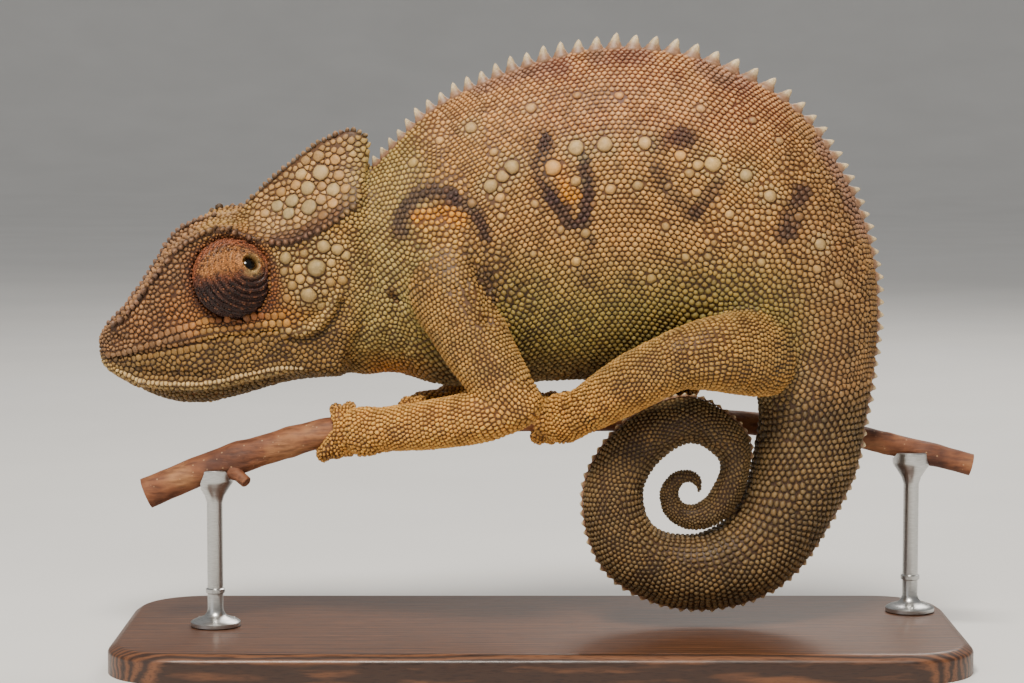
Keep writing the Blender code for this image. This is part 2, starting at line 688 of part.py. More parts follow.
def head_place(x, y, z):
    """Put a point of the level head in its place on the tipped head."""
    share = (x - HEAD[0][0]) / (HEAD[-1][0] - HEAD[0][0])
    leant = x + HEAD_REAR_LEAN * share * (z - HEAD_MID_Z)
    return HEAD_TURN @ Vector((leant, y, z))


def upper_head_half(x):
    """Half outline of the upper head at x, palate to roof, as (half width, height)."""
    v = head_values(x)
    mouth, crest_z, crest_w, roof = v["mouth"], v["crest_z"], v["crest_w"], v["roof"]
    lip, cheek = v["lip"], v["cheek"]
    tall = crest_z - mouth
    sag = 0.05 * crest_w
    rise = roof - crest_z
    return ((0.0, mouth), (0.55 * lip, mouth), (lip - 0.2, mouth), (lip + 0.4, mouth + 0.07 * tall),
            (lip + 0.05, mouth + 0.15 * tall), (0.4 * lip + 0.6 * cheek, mouth + 0.27 * tall),
            (cheek, mouth + 0.48 * tall), (0.5 * (cheek + crest_w) - 0.1, mouth + 0.75 * tall),
            (crest_w - 0.3, crest_z - 0.055 * tall), (crest_w + 0.3, crest_z),
            (0.86 * crest_w, crest_z + 0.06 * rise + 0.2), (0.6 * crest_w, crest_z + 0.32 * rise - sag),
            (0.3 * crest_w, crest_z + 0.66 * rise - sag), (1.1, roof - 0.35), (0.0, roof))


def jaw_half(x):
    """Half outline of the lower jaw at x, from under the mouth line down to the throat."""
    v = head_values(x)
    top = v["mouth"] - GAP
    lip, jaw_z, throat = v["lip"], v["jaw_z"], v["throat"]
    deep = top - jaw_z
    return ((0.0, top), (0.55 * lip, top), (lip - 0.25, top), (lip + 0.25, top - 0.2 * deep),
            (lip - 0.1, top - 0.55 * deep), (0.97 * lip, jaw_z + 0.4), (0.9 * lip, jaw_z - 0.7),
            (0.55 * lip, jaw_z + 0.72 * (throat - jaw_z)), (0.0, throat))


def head_ring(x, half, shift=0.0):
    """Closed ring of the head at x."""
    left = [head_place(x + shift, -w, z) for w, z in half]
    right = [head_place(x + shift, w, z) for w, z in half[-2:0:-1]]
    return left + right


def head_stations():
    """Places along the head, closer together at the snout."""
    first, last = HEAD[0][0], HEAD[-1][0]
    return [first + (last - first) * (i / (HEAD_STATIONS - 1)) ** 1.25 for i in range(HEAD_STATIONS)]


def make_head_shell(name, half_at):
    """Loft the upper head or the jaw, stopping short of the neck by half the gap."""
    stations = head_stations()
    rings = [head_ring(x, half_at(x), -GAP / 2 if x == stations[-1] else 0.0) for x in stations]
    return loft(name, rings)


def eye_matrix(side_sign, gaze, grow=0.0):
    """Matrix that takes a unit ball with its pole up to an eye turret looking along gaze."""
    turn = Vector((0, 0, 1)).rotation_difference(Vector(gaze).normalized()).to_matrix().to_4x4()
    radius, depth = EYE_RADIUS + grow, EYE_DEPTH + grow
    size = Matrix.Diagonal((radius, depth, radius, 1.0))
    x, y, z = EYE_CENTRE
    return HEAD_TURN @ Matrix.Translation((x, side_sign * y, z)) @ size @ turn


def ball(name, matrix, segments, rings, lid=False):
    """A ball placed by a matrix, with ring folds and a raised lid margin if asked."""
    bm = bmesh.new()
    bmesh.ops.create_uvsphere(bm, u_segments=segments, v_segments=rings, radius=1.0)
    if lid:
        for vert in bm.verts:
            polar = math.degrees(vert.co.angle(Vector((0, 0, 1))))
            margin = 0.075 * math.exp(-((polar - 17.0) / 8.0) ** 2)
            folds = 0.008 * math.cos(math.radians(polar * 11.0)) if polar < 100 else 0.0
            vert.co *= 1.0 + margin + folds
    bmesh.ops.transform(bm, matrix=matrix, verts=bm.verts)
    return finish_mesh(name, bm)


def make_eye(label, side_sign, gaze):
    """Eye turret with its opening, and the eyeball inside it."""
    turret = ball(f"eye_turret_{label}", eye_matrix(side_sign, gaze), 12, 13, lid=True)
    matrix = eye_matrix(side_sign, gaze)
    pole = matrix @ Vector((0, 0, 1.05))
    heart = matrix @ Vector((0, 0, 0))
    outward = (pole - heart).normalized()
    middle = pole - outward * (EYEBALL_RADIUS + 1.1)
    place = Matrix.Translation(middle)
    room = ball("pit", place @ Matrix.Scale(EYEBALL_RADIUS + GAP, 4), 10, 8)
    opening = cone_piece("opening", middle, pole + outward * 2.0, PUPIL_OPENING, PUPIL_OPENING + 0.5,
                         1.0, Vector((1, 0, 0)), sides=12)
    carve(turret, [room, opening])
    remove([room, opening])
    eyeball = ball(f"eyeball_{label}", place @ Matrix.Scale(EYEBALL_RADIUS, 4), 10, 8)
    return turret, eyeball


def make_base():
    """Flat base plate with rounded corners and a small chamfer on its upper edge."""
    bm = bmesh.new()
    bmesh.ops.create_cube(bm, size=1.0)
    bmesh.ops.scale(bm, vec=(BASE_LENGTH, BASE_WIDTH, BASE_THICKNESS), verts=bm.verts)
    bmesh.ops.translate(bm, vec=(0, 0, BASE_THICKNESS / 2), verts=bm.verts)
    upright = [e for e in bm.edges if abs(e.verts[0].co.z - e.verts[1].co.z) > 1.0]
    bmesh.ops.bevel(bm, geom=upright, offset=BASE_CORNER, segments=6, profile=0.5, affect="EDGES")
    rim = [e for e in bm.edges if all(abs(v.co.z - BASE_THICKNESS) < 1e-4 for v in e.verts)
           and len(e.link_faces) == 2 and any(abs(f.normal.z) < 0.5 for f in e.link_faces)]
    bmesh.ops.bevel(bm, geom=rim, offset=1.6, segments=2, profile=0.5, affect="EDGES")
    return finish_mesh("stand_base", bm)


def make_rod(label, x, branch_room):
    """Turned rod from a flange on the base up to a cup that cradles the branch."""
    centre, radius, _, _, _ = branch_frame(x)
    floor = BASE_THICKNESS + GAP
    top = centre.z - 0.2 * radius
    profile = ((0.0, floor), (FLANGE_RADIUS, floor), (FLANGE_RADIUS, floor + 1.2),
               (FLANGE_RADIUS - 1.4, floor + 2.0), (ROD_RADIUS + 0.8, floor + 2.8),
               (ROD_RADIUS, floor + 4.4), (ROD_RADIUS, top - 9.0), (CUP_RADIUS - 1.2, top - 5.4),
               (CUP_RADIUS, top - 3.4), (CUP_RADIUS, top), (0.0, top))
    sides = 12
    rings = []
    for reach, height in profile[1:-1]:
        rings.append([Vector((centre.x + reach * math.cos(math.tau * k / sides),
                              centre.y + reach * math.sin(math.tau * k / sides), height))
                      for k in range(sides)])
    rod = loft(f"stand_rod_{label}", rings)
    carve(rod, [branch_room])
    return rod


def build():
    """Make every piece of the animal, its perch and its stand."""
    for obj in list(bpy.data.objects):
        bpy.data.objects.remove(obj)

    perch = make_branch("perch")
    perch_room = make_branch("perch room", GAP)

    neck = body_length("neck", 0.0, NECK_END, 0.45)
    torso = body_length("torso", NECK_END, TORSO_END, 0.5)
    tail_places = [TORSO_END] + [coil_place(angle) for angle in TAIL_SPLITS]
    tails = []
    for i, (start, end) in enumerate(zip(tail_places, tail_places[1:])):
        tails.append(body_length(f"tail_{i + 1}", start, end, 0.34 if i < 7 else 0.5))

    head = make_head_shell("head", upper_head_half)
    jaw = make_head_shell("lower_jaw", jaw_half)
    eye_rooms = [ball("eye room", eye_matrix(side_sign, gaze, GAP * 2.0), 14, 12)
                 for side_sign, gaze in ((-1, GAZE_LEFT), (1, GAZE_RIGHT))]
    carve(head, eye_rooms)
    remove(eye_rooms)
    nostrils = []
    for side_sign in (-1, 1):
        x, y, z = NOSTRIL
        outer = head_place(x, side_sign * (y + 1.6), z)
        inner = head_place(x + 1.0, side_sign * (y - 1.6), z - 0.2)
        nostrils.append(cone_piece("nostril", inner, outer, 0.35, 1.0, 0.7, Vector((0, 0, 1)), sides=6))
    carve(head, nostrils)
    remove(nostrils)
    fuse(head, head_beads() + head_plates(), "MANIFOLD")
    fuse(jaw, throat_spines())
    eyes = []
    for label, side_sign, gaze in (("left", -1, GAZE_LEFT), ("right", 1, GAZE_RIGHT)):
        eyes += make_eye(label, side_sign, gaze)

    body_rooms = [grown(neck), grown(torso), grown(tails[0])]
    add_spines(neck, SPINES_START, NECK_END)
    add_spines(torso, NECK_END, TORSO_END)
    for tail, start, end in zip(tails[:LAST_SPINED_TAIL], tail_places, tail_places[1:]):
        add_spines(tail, start, end)
    limbs, feet = [], []
    for label in ("left", "right"):
        arm = limb(f"upper_arm_{label}", UPPER_ARM[label], count=8)
        carve(arm, body_rooms)
        fore = limb(f"forearm_{label}", FOREARM[label], count=7)
        arm_room = limb_room(UPPER_ARM[label], 8)
        carve(fore, body_rooms + [arm_room])
        thigh = limb(f"thigh_{label}", THIGH[label], count=7)
        carve(thigh, body_rooms)
        shank = limb(f"shank_{label}", SHANK[label], count=6)
        thigh_room = limb_room(THIGH[label], 7)
        carve(shank, body_rooms + [thigh_room])
        hand = make_foot(f"hand_{label}", perch_room)
        fore_room = limb_room(FOREARM[label], 7)
        carve(hand, [fore_room], "MANIFOLD")
        foot = make_foot(f"foot_{label}", perch_room)
        shank_room = limb_room(SHANK[label], 6)
        carve(foot, [shank_room], "MANIFOLD")
        limbs += [arm, fore, thigh, shank]
        feet += [hand, foot]
        remove([arm_room, thigh_room, fore_room, shank_room])
    remove(body_rooms)

    base = make_base()
    rods = [make_rod(label, x, perch_room) for label, x in ROD_PLACES.items()]
    remove([perch_room])

    for obj in [head, jaw, neck, torso] + limbs + tails:
        dress(obj, (0.36, 0.24, 0.13), 0.6)
    for obj in feet:
        dress(obj, (0.45, 0.27, 0.12), 0.6)
    for obj in eyes:
        dress(obj, (0.30, 0.13, 0.04), 0.45)
    dress(perch, (0.20, 0.07, 0.03), 0.6)
    dress(base, (0.10, 0.055, 0.03), 0.4)
    for rod in rods:
        dress(rod, (0.45, 0.45, 0.45), 0.3, metallic=1.0)


build()
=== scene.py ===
"""Looks of a life-size Oustalet's chameleon that grips a cut branch on a display stand.

Shapes are worked out in millimetres and become metres when a mesh is made. The frame has +Z up,
the head towards -X and the animal's left side towards -Y.
"""
import logging
import math
from collections.abc import Callable, Sequence
from dataclasses import dataclass, field, fields
from enum import Enum

import bmesh
import bpy
import numpy as np
from mathutils import Matrix, Vector
from mathutils.bvhtree import BVHTree
from mathutils.kdtree import KDTree


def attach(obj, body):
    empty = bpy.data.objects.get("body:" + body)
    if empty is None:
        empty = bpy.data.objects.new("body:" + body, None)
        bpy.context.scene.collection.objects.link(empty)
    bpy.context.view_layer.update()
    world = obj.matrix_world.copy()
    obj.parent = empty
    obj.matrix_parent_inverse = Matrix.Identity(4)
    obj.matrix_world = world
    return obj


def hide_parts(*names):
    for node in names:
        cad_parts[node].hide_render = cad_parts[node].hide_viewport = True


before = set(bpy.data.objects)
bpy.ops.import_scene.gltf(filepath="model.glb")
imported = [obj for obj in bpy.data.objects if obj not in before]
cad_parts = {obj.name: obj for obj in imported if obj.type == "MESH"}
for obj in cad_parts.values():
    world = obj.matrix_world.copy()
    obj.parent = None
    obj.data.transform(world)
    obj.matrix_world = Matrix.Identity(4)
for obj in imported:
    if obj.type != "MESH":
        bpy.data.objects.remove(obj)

log = logging.getLogger("chameleon")

MM = 0.001
COAT_DEPTH = 0.38          # the skin lies this far inside the solids, and the scales fill it
SKIN_VOXEL = 0.99
X_AXIS = np.array((1.0, 0.0, 0.0))
Y_AXIS = np.array((0.0, 1.0, 0.0))
# Any large uneven numbers serve to scatter the values of the noise.
HASH_DIRECTION = np.array((127.1, 311.7, 74.7))
HASH_SCALE = 43758.5453
Values = float | np.ndarray
Surface = Callable[[np.ndarray, np.ndarray], np.ndarray]


def curve_shares(s: np.ndarray) -> tuple:
    """Shares of start, slope at the start, end and slope at the end at s of a curved step."""
    return 2 * s**3 - 3 * s**2 + 1, s**3 - 2 * s**2 + s, 3 * s**2 - 2 * s**3, s**3 - s**2


def smooth(rows: Sequence, places: Values) -> np.ndarray:
    """Read rows of (place, values...) at many places along a smooth curve through all of them.

    Args:
        rows: the rows, in rising order of place.
        places: the places to read.

    Returns:
        One line of values for each place.
    """
    table = np.asarray(rows, dtype=float)
    marks, values = table[:, 0], table[:, 1:]
    slopes = np.gradient(values, marks, axis=0)
    places = np.atleast_1d(np.asarray(places, dtype=float))
    i = np.clip(np.searchsorted(marks, places, side="right") - 1, 0, len(marks) - 2)
    step = (marks[i + 1] - marks[i])[:, None]
    start, leave, end, arrive = curve_shares((places[:, None] - marks[i][:, None]) / step)
    return (values[i] * start + slopes[i] * step * leave
            + (values[i + 1] * end + slopes[i + 1] * step * arrive))


def unit(vectors: np.ndarray) -> np.ndarray:
    """Scale each vector of an array to length one."""
    return vectors / np.maximum(np.linalg.norm(vectors, axis=-1, keepdims=True), 1e-9)


def run_along(line: np.ndarray, longest: float = math.inf) -> np.ndarray:
    """Length from the start of a line to each of its points, no step counted past the longest."""
    steps = np.linalg.norm(np.diff(line, axis=0), axis=1)
    return np.concatenate(([0.0], np.cumsum(np.minimum(steps, longest))))


def ring_points(centre: np.ndarray, first: np.ndarray, second: np.ndarray, reach: Values,
                angles: np.ndarray, flat: Values | None = None) -> np.ndarray:
    """Points round a centre by angle from the first direction towards the second.

    Args:
        centre: the middle of each ring.
        first: the direction at angle 0.
        second: the direction a quarter turn further.
        reach: distance from the centre along the first direction.
        angles: the angles in radians.
        flat: distance along the second direction, where it isn't the same.

    Returns:
        One point for each angle.
    """
    flat = reach if flat is None else flat
    return (centre + first * (reach * np.cos(angles))[:, None]
            + second * (flat * np.sin(angles))[:, None])


def fade(values: Values, low: float, high: float) -> np.ndarray:
    """Rise smoothly from 0 at low to 1 at high, or fall where low is the greater."""
    s = np.clip((np.asarray(values, dtype=float) - low) / (high - low), 0.0, 1.0)
    return s * s * (3 - 2 * s)


def linear(red: int, green: int, blue: int) -> np.ndarray:
    """Turn a screen colour of 0 to 255 into the linear colour that a shader takes."""
    share = np.array((red, green, blue), dtype=float) / 255.0
    return np.where(share <= 0.04045, share / 12.92, ((share + 0.055) / 1.055) ** 2.4)


def blend(colour: np.ndarray, other: tuple, share: np.ndarray) -> np.ndarray:
    """Move linear colours towards a screen colour by a share each."""
    return colour * (1 - share[:, None]) + linear(*other) * share[:, None]


def hash_noise(points: np.ndarray, scale: float, seed: float = 0.0) -> np.ndarray:
    """Soft random values from -1 to 1 that vary over a distance of about scale.

    Args:
        points: places in millimetres, one line each.
        scale: the distance over which the value changes.
        seed: a different number gives another pattern.

    Returns:
        One value for each place.
    """
    cell = points / scale + seed * 17.31
    low = np.floor(cell)
    share = cell - low
    share = share * share * (3 - 2 * share)
    total = np.zeros(len(points))
    for corner in np.ndindex(2, 2, 2):
        spin = np.sin((low + corner) @ HASH_DIRECTION + seed * 3.7) * HASH_SCALE
        value = (spin - np.floor(spin)) * 2 - 1
        total += value * np.prod(np.where(np.array(corner) == 1, share, 1 - share), axis=1)
    return total


@dataclass(frozen=True)
class BodyForm:
    """The body from the neck to the tail's tip, as sections along one scale of places."""

    # Dorsal point (x, z), ventral point (x, z), half the width and the roll in degrees.
    trunk: tuple = (
        (-48.0, 135.8, -54.5, 79.5, 17.0, 13.0), (-40.0, 143.6, -43.8, 80.1, 17.6, 6.0),
        (-30.0, 152.8, -28.0, 75.8, 18.8, 1.5), (-14.0, 160.9, -11.2, 75.9, 20.6, 0.0),
        (1.4, 166.4, 4.5, 77.0, 21.6, 0.0), (19.6, 169.6, 19.6, 77.3, 22.0, 0.0),
        (37.0, 168.3, 32.2, 77.6, 21.6, 0.0), (54.4, 163.0, 42.0, 78.1, 20.4, 0.0),
        (72.8, 151.2, 49.3, 78.4, 18.4, 0.0), (85.4, 133.0, 54.6, 78.1, 16.4, 0.0),
        (92.4, 114.8, 58.2, 76.4, 15.0, 0.0), (94.6, 96.6, 60.8, 72.8, 14.0, 0.0),
        (93.5, 79.8, 61.6, 68.0, 13.0, 0.0), (91.3, 64.4, 61.0, 61.3, 12.3, 0.0),
    )
    torso_end: float = 12.0
    lead_length: float = 9.0        # how far the neck runs on inside the head, at place -1
    lead_taper: float = 0.22
    coil_centre: tuple = (42.0, 46.2)
    # Turn angle, distance from the coil's centre, half depth, half width and drift to the side.
    coil: tuple = (
        (0, 30.2, 14.4, 11.6, -1.0), (45, 25.2, 12.2, 10.3, -2.6), (90, 23.0, 10.6, 9.1, -4.0),
        (135, 23.5, 9.4, 8.3, -5.2), (180, 21.8, 8.5, 7.6, -6.0), (225, 19.8, 7.6, 6.9, -6.2),
        (270, 20.5, 6.7, 6.2, -6.2), (315, 17.2, 5.6, 5.4, -6.0), (360, 10.2, 4.8, 4.6, -6.0),
        (405, 8.0, 4.2, 4.0, -6.0), (450, 7.2, 3.7, 3.5, -6.0), (495, 6.7, 3.2, 3.0, -6.0),
        (540, 6.0, 2.8, 2.6, -6.0), (585, 5.3, 2.4, 2.2, -6.0), (630, 4.5, 2.0, 1.9, -6.0),
        (675, 3.5, 1.6, 1.5, -6.0), (735, 2.0, 1.0, 1.0, -6.0),
    )
    # Height share from belly to back against width share.
    body_section: tuple = (
        (0.0, 0.0), (0.02, 0.27), (0.07, 0.50), (0.15, 0.72), (0.27, 0.91), (0.42, 1.0),
        (0.57, 0.97), (0.71, 0.84), (0.83, 0.63), (0.92, 0.40), (0.975, 0.19), (1.0, 0.0))
    tail_section: tuple = (
        (0.0, 0.0), (0.04, 0.42), (0.15, 0.74), (0.32, 0.95), (0.5, 1.0), (0.68, 0.92),
        (0.84, 0.68), (0.95, 0.36), (1.0, 0.0))

    def last(self) -> float:
        """Give the place of the tail's tip."""
        return len(self.trunk) + self.coil[-1][0] / 45.0

    def rows(self) -> list:
        """List the sections of trunk and tail on one scale, one step for each 45 degrees."""
        rows = [(float(i), *row, 0.0) for i, row in enumerate(self.trunk)]
        cx, cz = self.coil_centre
        for angle, reach, half_depth, half_width, drift in self.coil:
            turn = math.radians(angle)
            out_x, out_z = math.cos(turn), -math.sin(turn)
            outer, inner = reach + half_depth, reach - half_depth
            rows.append((len(self.trunk) + angle / 45.0, cx + outer * out_x, cz + outer * out_z,
                         cx + inner * out_x, cz + inner * out_z, half_width, 0.0, drift))
        return rows

    def section_width(self, places: np.ndarray, turns: np.ndarray) -> np.ndarray:
        """Width share at each turn round the half section, 0 at the belly and 1 at the back."""
        body, tail = (
            smooth([(math.acos(1 - 2 * height) / math.pi, width) for height, width in section],
                   turns)[:, 0]
            for section in (self.body_section, self.tail_section))
        share = np.clip((places - self.torso_end + 1.0) / 3.0, 0.0, 1.0)
        return np.maximum(body * (1 - share) + tail * share, 0.0)

    def frames(self, places: np.ndarray) -> tuple:
        """Centre, direction up the section, depth, half width and roll at each place."""
        lead = np.minimum(places, 0.0)
        values = smooth(self.rows(), np.maximum(places, 0.0))
        top_x, top_z, low_x, low_z, half_width, roll, drift = values.T
        top = np.stack((top_x, drift, top_z), axis=1)
        low = np.stack((low_x, drift, low_z), axis=1)
        up = unit(top - low)
        along = np.stack((up[:, 2], 0 * lead, -up[:, 0]), axis=1)
        centre = (top + low) / 2 + along * (lead * self.lead_length)[:, None]
        size = 1.0 + self.lead_taper * lead
        depth = np.linalg.norm(top - low, axis=1) * size
        return centre, up, depth, half_width * size, np.radians(roll)

    def surface(self, places: Values, turns: Values) -> np.ndarray:
        """Points on the body: turns run 0 belly, 1 back on the left, 2 belly again on the right.

        Args:
            places: places along the body.
            turns: places round the section, as many as there are places.

        Returns:
            One point in millimetres for each pair.
        """
        places = np.atleast_1d(np.asarray(places, dtype=float))
        turns = np.broadcast_to(np.asarray(turns, dtype=float), places.shape)
        centre, up, depth, half_width, roll = self.frames(places)
        side = np.where(turns <= 1.0, -1.0, 1.0)
        half_turn = np.where(turns <= 1.0, turns, 2.0 - turns)
        across = side * self.section_width(places, half_turn) * half_width
        rise = -0.5 * np.cos(np.pi * half_turn) * depth
        lift = rise * np.cos(roll) + across * np.sin(roll)
        shift = across * np.cos(roll) - rise * np.sin(roll)
        points = centre + up * lift[:, None]
        points[:, 1] += shift
        return points


CROWN_MARK = 19.0          # the mark of the head's outline that lies on the roof
HEAD_START = -124.0        # x of the snout's tip, and how long the head's unwrap is
HEAD_LENGTH = 76.0


@dataclass(frozen=True)
class HeadForm:
    """The head as sections along x, modelled level and then tipped to the animal's left."""

    # x, mouth line, crest height, crest half width, roof, lip, cheek, jaw edge, throat.
    rows: tuple = (
        (-124.0, 83.0, 87.6, 2.2, 88.0, 2.4, 2.6, 81.8, 80.2),
        (-121.6, 83.3, 91.2, 4.2, 91.9, 4.6, 4.6, 80.4, 78.0),
        (-117.0, 84.5, 94.9, 5.6, 96.3, 7.0, 6.6, 78.8, 75.4),
        (-112.8, 86.0, 100.0, 6.6, 102.0, 8.8, 8.2, 77.4, 73.2),
        (-107.0, 87.8, 108.2, 8.2, 111.0, 10.8, 9.6, 77.1, 70.8),
        (-101.9, 89.2, 115.2, 9.6, 118.7, 12.2, 10.8, 77.2, 69.4),
        (-96.6, 90.8, 119.6, 10.6, 122.0, 13.6, 11.8, 77.5, 68.9),
        (-90.7, 92.4, 122.8, 11.6, 123.9, 14.8, 12.8, 78.2, 69.2),
        (-86.2, 93.2, 123.0, 12.4, 124.4, 15.4, 13.6, 79.2, 70.4),
        (-77.8, 94.8, 120.4, 14.0, 132.4, 16.4, 15.8, 81.6, 72.7),
        (-70.0, 95.8, 120.4, 15.4, 139.8, 17.2, 17.8, 83.4, 75.4),
        (-62.4, 96.0, 123.4, 16.2, 145.6, 17.4, 18.8, 83.4, 77.2),
        (-55.2, 95.4, 128.0, 14.6, 147.8, 16.8, 18.2, 82.8, 78.4),
        (-51.0, 94.6, 131.2, 12.4, 146.0, 16.2, 17.4, 82.4, 78.8),
    )
    mid_z: float = 110.0
    rear_lean: float = 0.115
    roll: float = 13.0
    mouth_gap: float = 0.3

    def turn(self) -> Matrix:
        """Matrix that tips the head to its left about the middle of its rear plane."""
        pivot = Vector((self.rows[-1][0], 0.0, self.mid_z))
        axis = Vector((1.0, 0.0, -self.rear_lean)).normalized()
        spin = Matrix.Rotation(math.radians(self.roll), 4, axis)
        return Matrix.Translation(pivot) @ spin @ Matrix.Translation(-pivot)

    def place(self, points: np.ndarray) -> np.ndarray:
        """Put points of the level head in their place on the tipped head."""
        first, last = self.rows[0][0], self.rows[-1][0]
        share = (points[:, 0] - first) / (last - first)
        level = points.copy()
        level[:, 0] += self.rear_lean * share * (points[:, 2] - self.mid_z)
        turn = np.array(self.turn())
        return level @ turn[:3, :3].T + turn[:3, 3]

    def level(self, points: np.ndarray) -> np.ndarray:
        """Turn points of the tipped head back, so that they read as on the level head."""
        turn = np.array(self.turn().inverted())
        return points @ turn[:3, :3].T + turn[:3, 3]

    def outline(self, x: np.ndarray) -> np.ndarray:
        """Half outline of each section, throat to roof, as 20 points of (half width, height).

        Args:
            x: the sections' places along the head.

        Returns:
            An array of sections by points by two.
        """
        mouth, crest_z, crest_w, roof, lip, cheek, jaw_z, throat = smooth(self.rows, x).T
        tall, rise, sag = crest_z - mouth, roof - crest_z, 0.05 * crest_w
        deep = mouth - self.mouth_gap - jaw_z
        top = mouth - self.mouth_gap
        chain = (
            (0 * lip, throat), (0.55 * lip, jaw_z + 0.72 * (throat - jaw_z)),
            (0.9 * lip, jaw_z - 0.7), (0.97 * lip, jaw_z + 0.4), (lip - 0.1, top - 0.55 * deep),
            (lip + 0.25, top - 0.2 * deep), (lip + 0.1, top - 0.02 * deep),
            (lip + 0.2, mouth + 0.02 * tall), (lip + 0.4, mouth + 0.07 * tall),
            (lip + 0.05, mouth + 0.15 * tall), (0.4 * lip + 0.6 * cheek, mouth + 0.27 * tall),
            (cheek, mouth + 0.48 * tall), (0.5 * (cheek + crest_w) - 0.1, mouth + 0.75 * tall),
            (crest_w - 0.3, crest_z - 0.055 * tall), (crest_w + 0.3, crest_z),
            (0.86 * crest_w, crest_z + 0.06 * rise + 0.2),
            (0.6 * crest_w, crest_z + 0.32 * rise - sag),
            (0.3 * crest_w, crest_z + 0.66 * rise - sag), (1.1 + 0 * lip, roof - 0.35),
            (0 * lip, roof))
        return np.stack([np.stack(pair, axis=1) for pair in chain], axis=1)

    def surface(self, x: Values, marks: Values, side: Values = -1.0) -> np.ndarray:
        """Points on the head at marks of the outline: 0 throat, 7 mouth, 14 crest, 19 roof.

        Args:
            x: places along the head.
            marks: places round the half outline, as many as x.
            side: -1 on the animal's left and 1 on its right.

        Returns:
            One point in millimetres for each pair.
        """
        x = np.atleast_1d(np.asarray(x, dtype=float))
        marks = np.broadcast_to(np.asarray(marks, dtype=float), x.shape)
        chain = self.outline(x)
        last = chain.shape[1] - 1
        i = np.clip(np.floor(marks).astype(int), 0, last - 1)
        start, leave, end, arrive = curve_shares((marks - i)[:, None])
        line = np.arange(len(x))
        ends = [chain[line, np.clip(i + k, 0, last)] for k in (-1, 0, 1, 2)]
        flat = (ends[1] * start + 0.5 * (ends[2] - ends[0]) * leave
                + ends[2] * end + 0.5 * (ends[3] - ends[1]) * arrive)
        width = np.maximum(flat[:, 0], 0.0)
        return self.place(np.stack((x, np.broadcast_to(side, x.shape) * width, flat[:, 1]), axis=1))


@dataclass(frozen=True)
class LimbForm:
    """One tapered length of limb: points (x, y, z), radius sideways and radius across."""

    rows: tuple
    pitch: float = 1.3

    def surface(self, places: Values, angles: Values, grow: float = 0.0) -> np.ndarray:
        """Points on the limb: places past either end of the rows run over its round ends."""
        places = np.atleast_1d(np.asarray(places, dtype=float))
        angles = np.broadcast_to(np.asarray(angles, dtype=float), places.shape)
        table = [(float(i), *row) for i, row in enumerate(self.rows)]
        last = len(self.rows) - 1.0
        beyond = places - np.clip(places, 0.0, last)
        within = np.clip(places, 0.0, last)
        values = smooth(table, within)
        ahead = smooth(table, np.minimum(within + 0.02, last))[:, :3]
        behind = smooth(table, np.maximum(within - 0.02, 0.0))[:, :3]
        along = unit(ahead - behind)
        sideways = unit(Y_AXIS - along * along[:, 1:2])
        size = np.sqrt(np.clip(1.0 - beyond**2, 0.0, 1.0))
        reach = (values[:, 3] + values[:, 4]) / 2
        centre = values[:, :3] + along * (beyond * reach)[:, None]
        return ring_points(centre, sideways, np.cross(along, sideways),
                           (values[:, 3] + grow) * size, angles, (values[:, 4] + grow) * size)


LEFT_LIMBS = {
    "upper_arm": LimbForm(((-30.0, -9.0, 114.0, 7.0, 10.0), (-26.5, -15.0, 106.0, 8.6, 11.8),
                           (-17.5, -21.0, 89.0, 8.4, 9.8), (-9.8, -24.5, 77.0, 7.4, 8.2),
                           (-7.0, -25.2, 74.0, 6.8, 7.2))),
    "forearm": LimbForm(((-6.4, -25.2, 73.2, 6.8, 7.0), (-16.0, -23.6, 69.6, 7.2, 7.4),
                         (-30.0, -19.0, 66.6, 6.4, 6.8), (-42.6, -13.6, 64.8, 5.6, 6.3))),
    "thigh": LimbForm(((72.0, -2.0, 86.0, 5.0, 9.0), (62.0, -12.0, 86.0, 8.8, 12.4),
                       (48.0, -22.5, 86.5, 8.8, 10.4), (37.0, -27.0, 85.4, 7.6, 8.2))),
    "shank": LimbForm(((36.4, -27.0, 85.0, 7.4, 8.0), (25.0, -22.0, 78.6, 7.2, 8.0),
                       (12.6, -14.8, 70.2, 5.9, 6.6))),
    "hand": LimbForm(((-42.0, -13.8, 64.8, 5.2, 6.0), (-48.0, -11.2, 63.8, 4.8, 7.0),
                      (-51.5, -9.9, 63.2, 4.0, 6.8), (-53.5, -9.4, 62.8, 2.8, 4.6)), 1.2),
    "foot": LimbForm(((12.2, -14.4, 69.8, 5.4, 6.2), (6.4, -10.6, 67.4, 4.8, 7.2),
                      (3.4, -8.8, 66.6, 4.0, 6.6), (1.2, -8.2, 66.2, 2.8, 4.4)), 1.2),
}
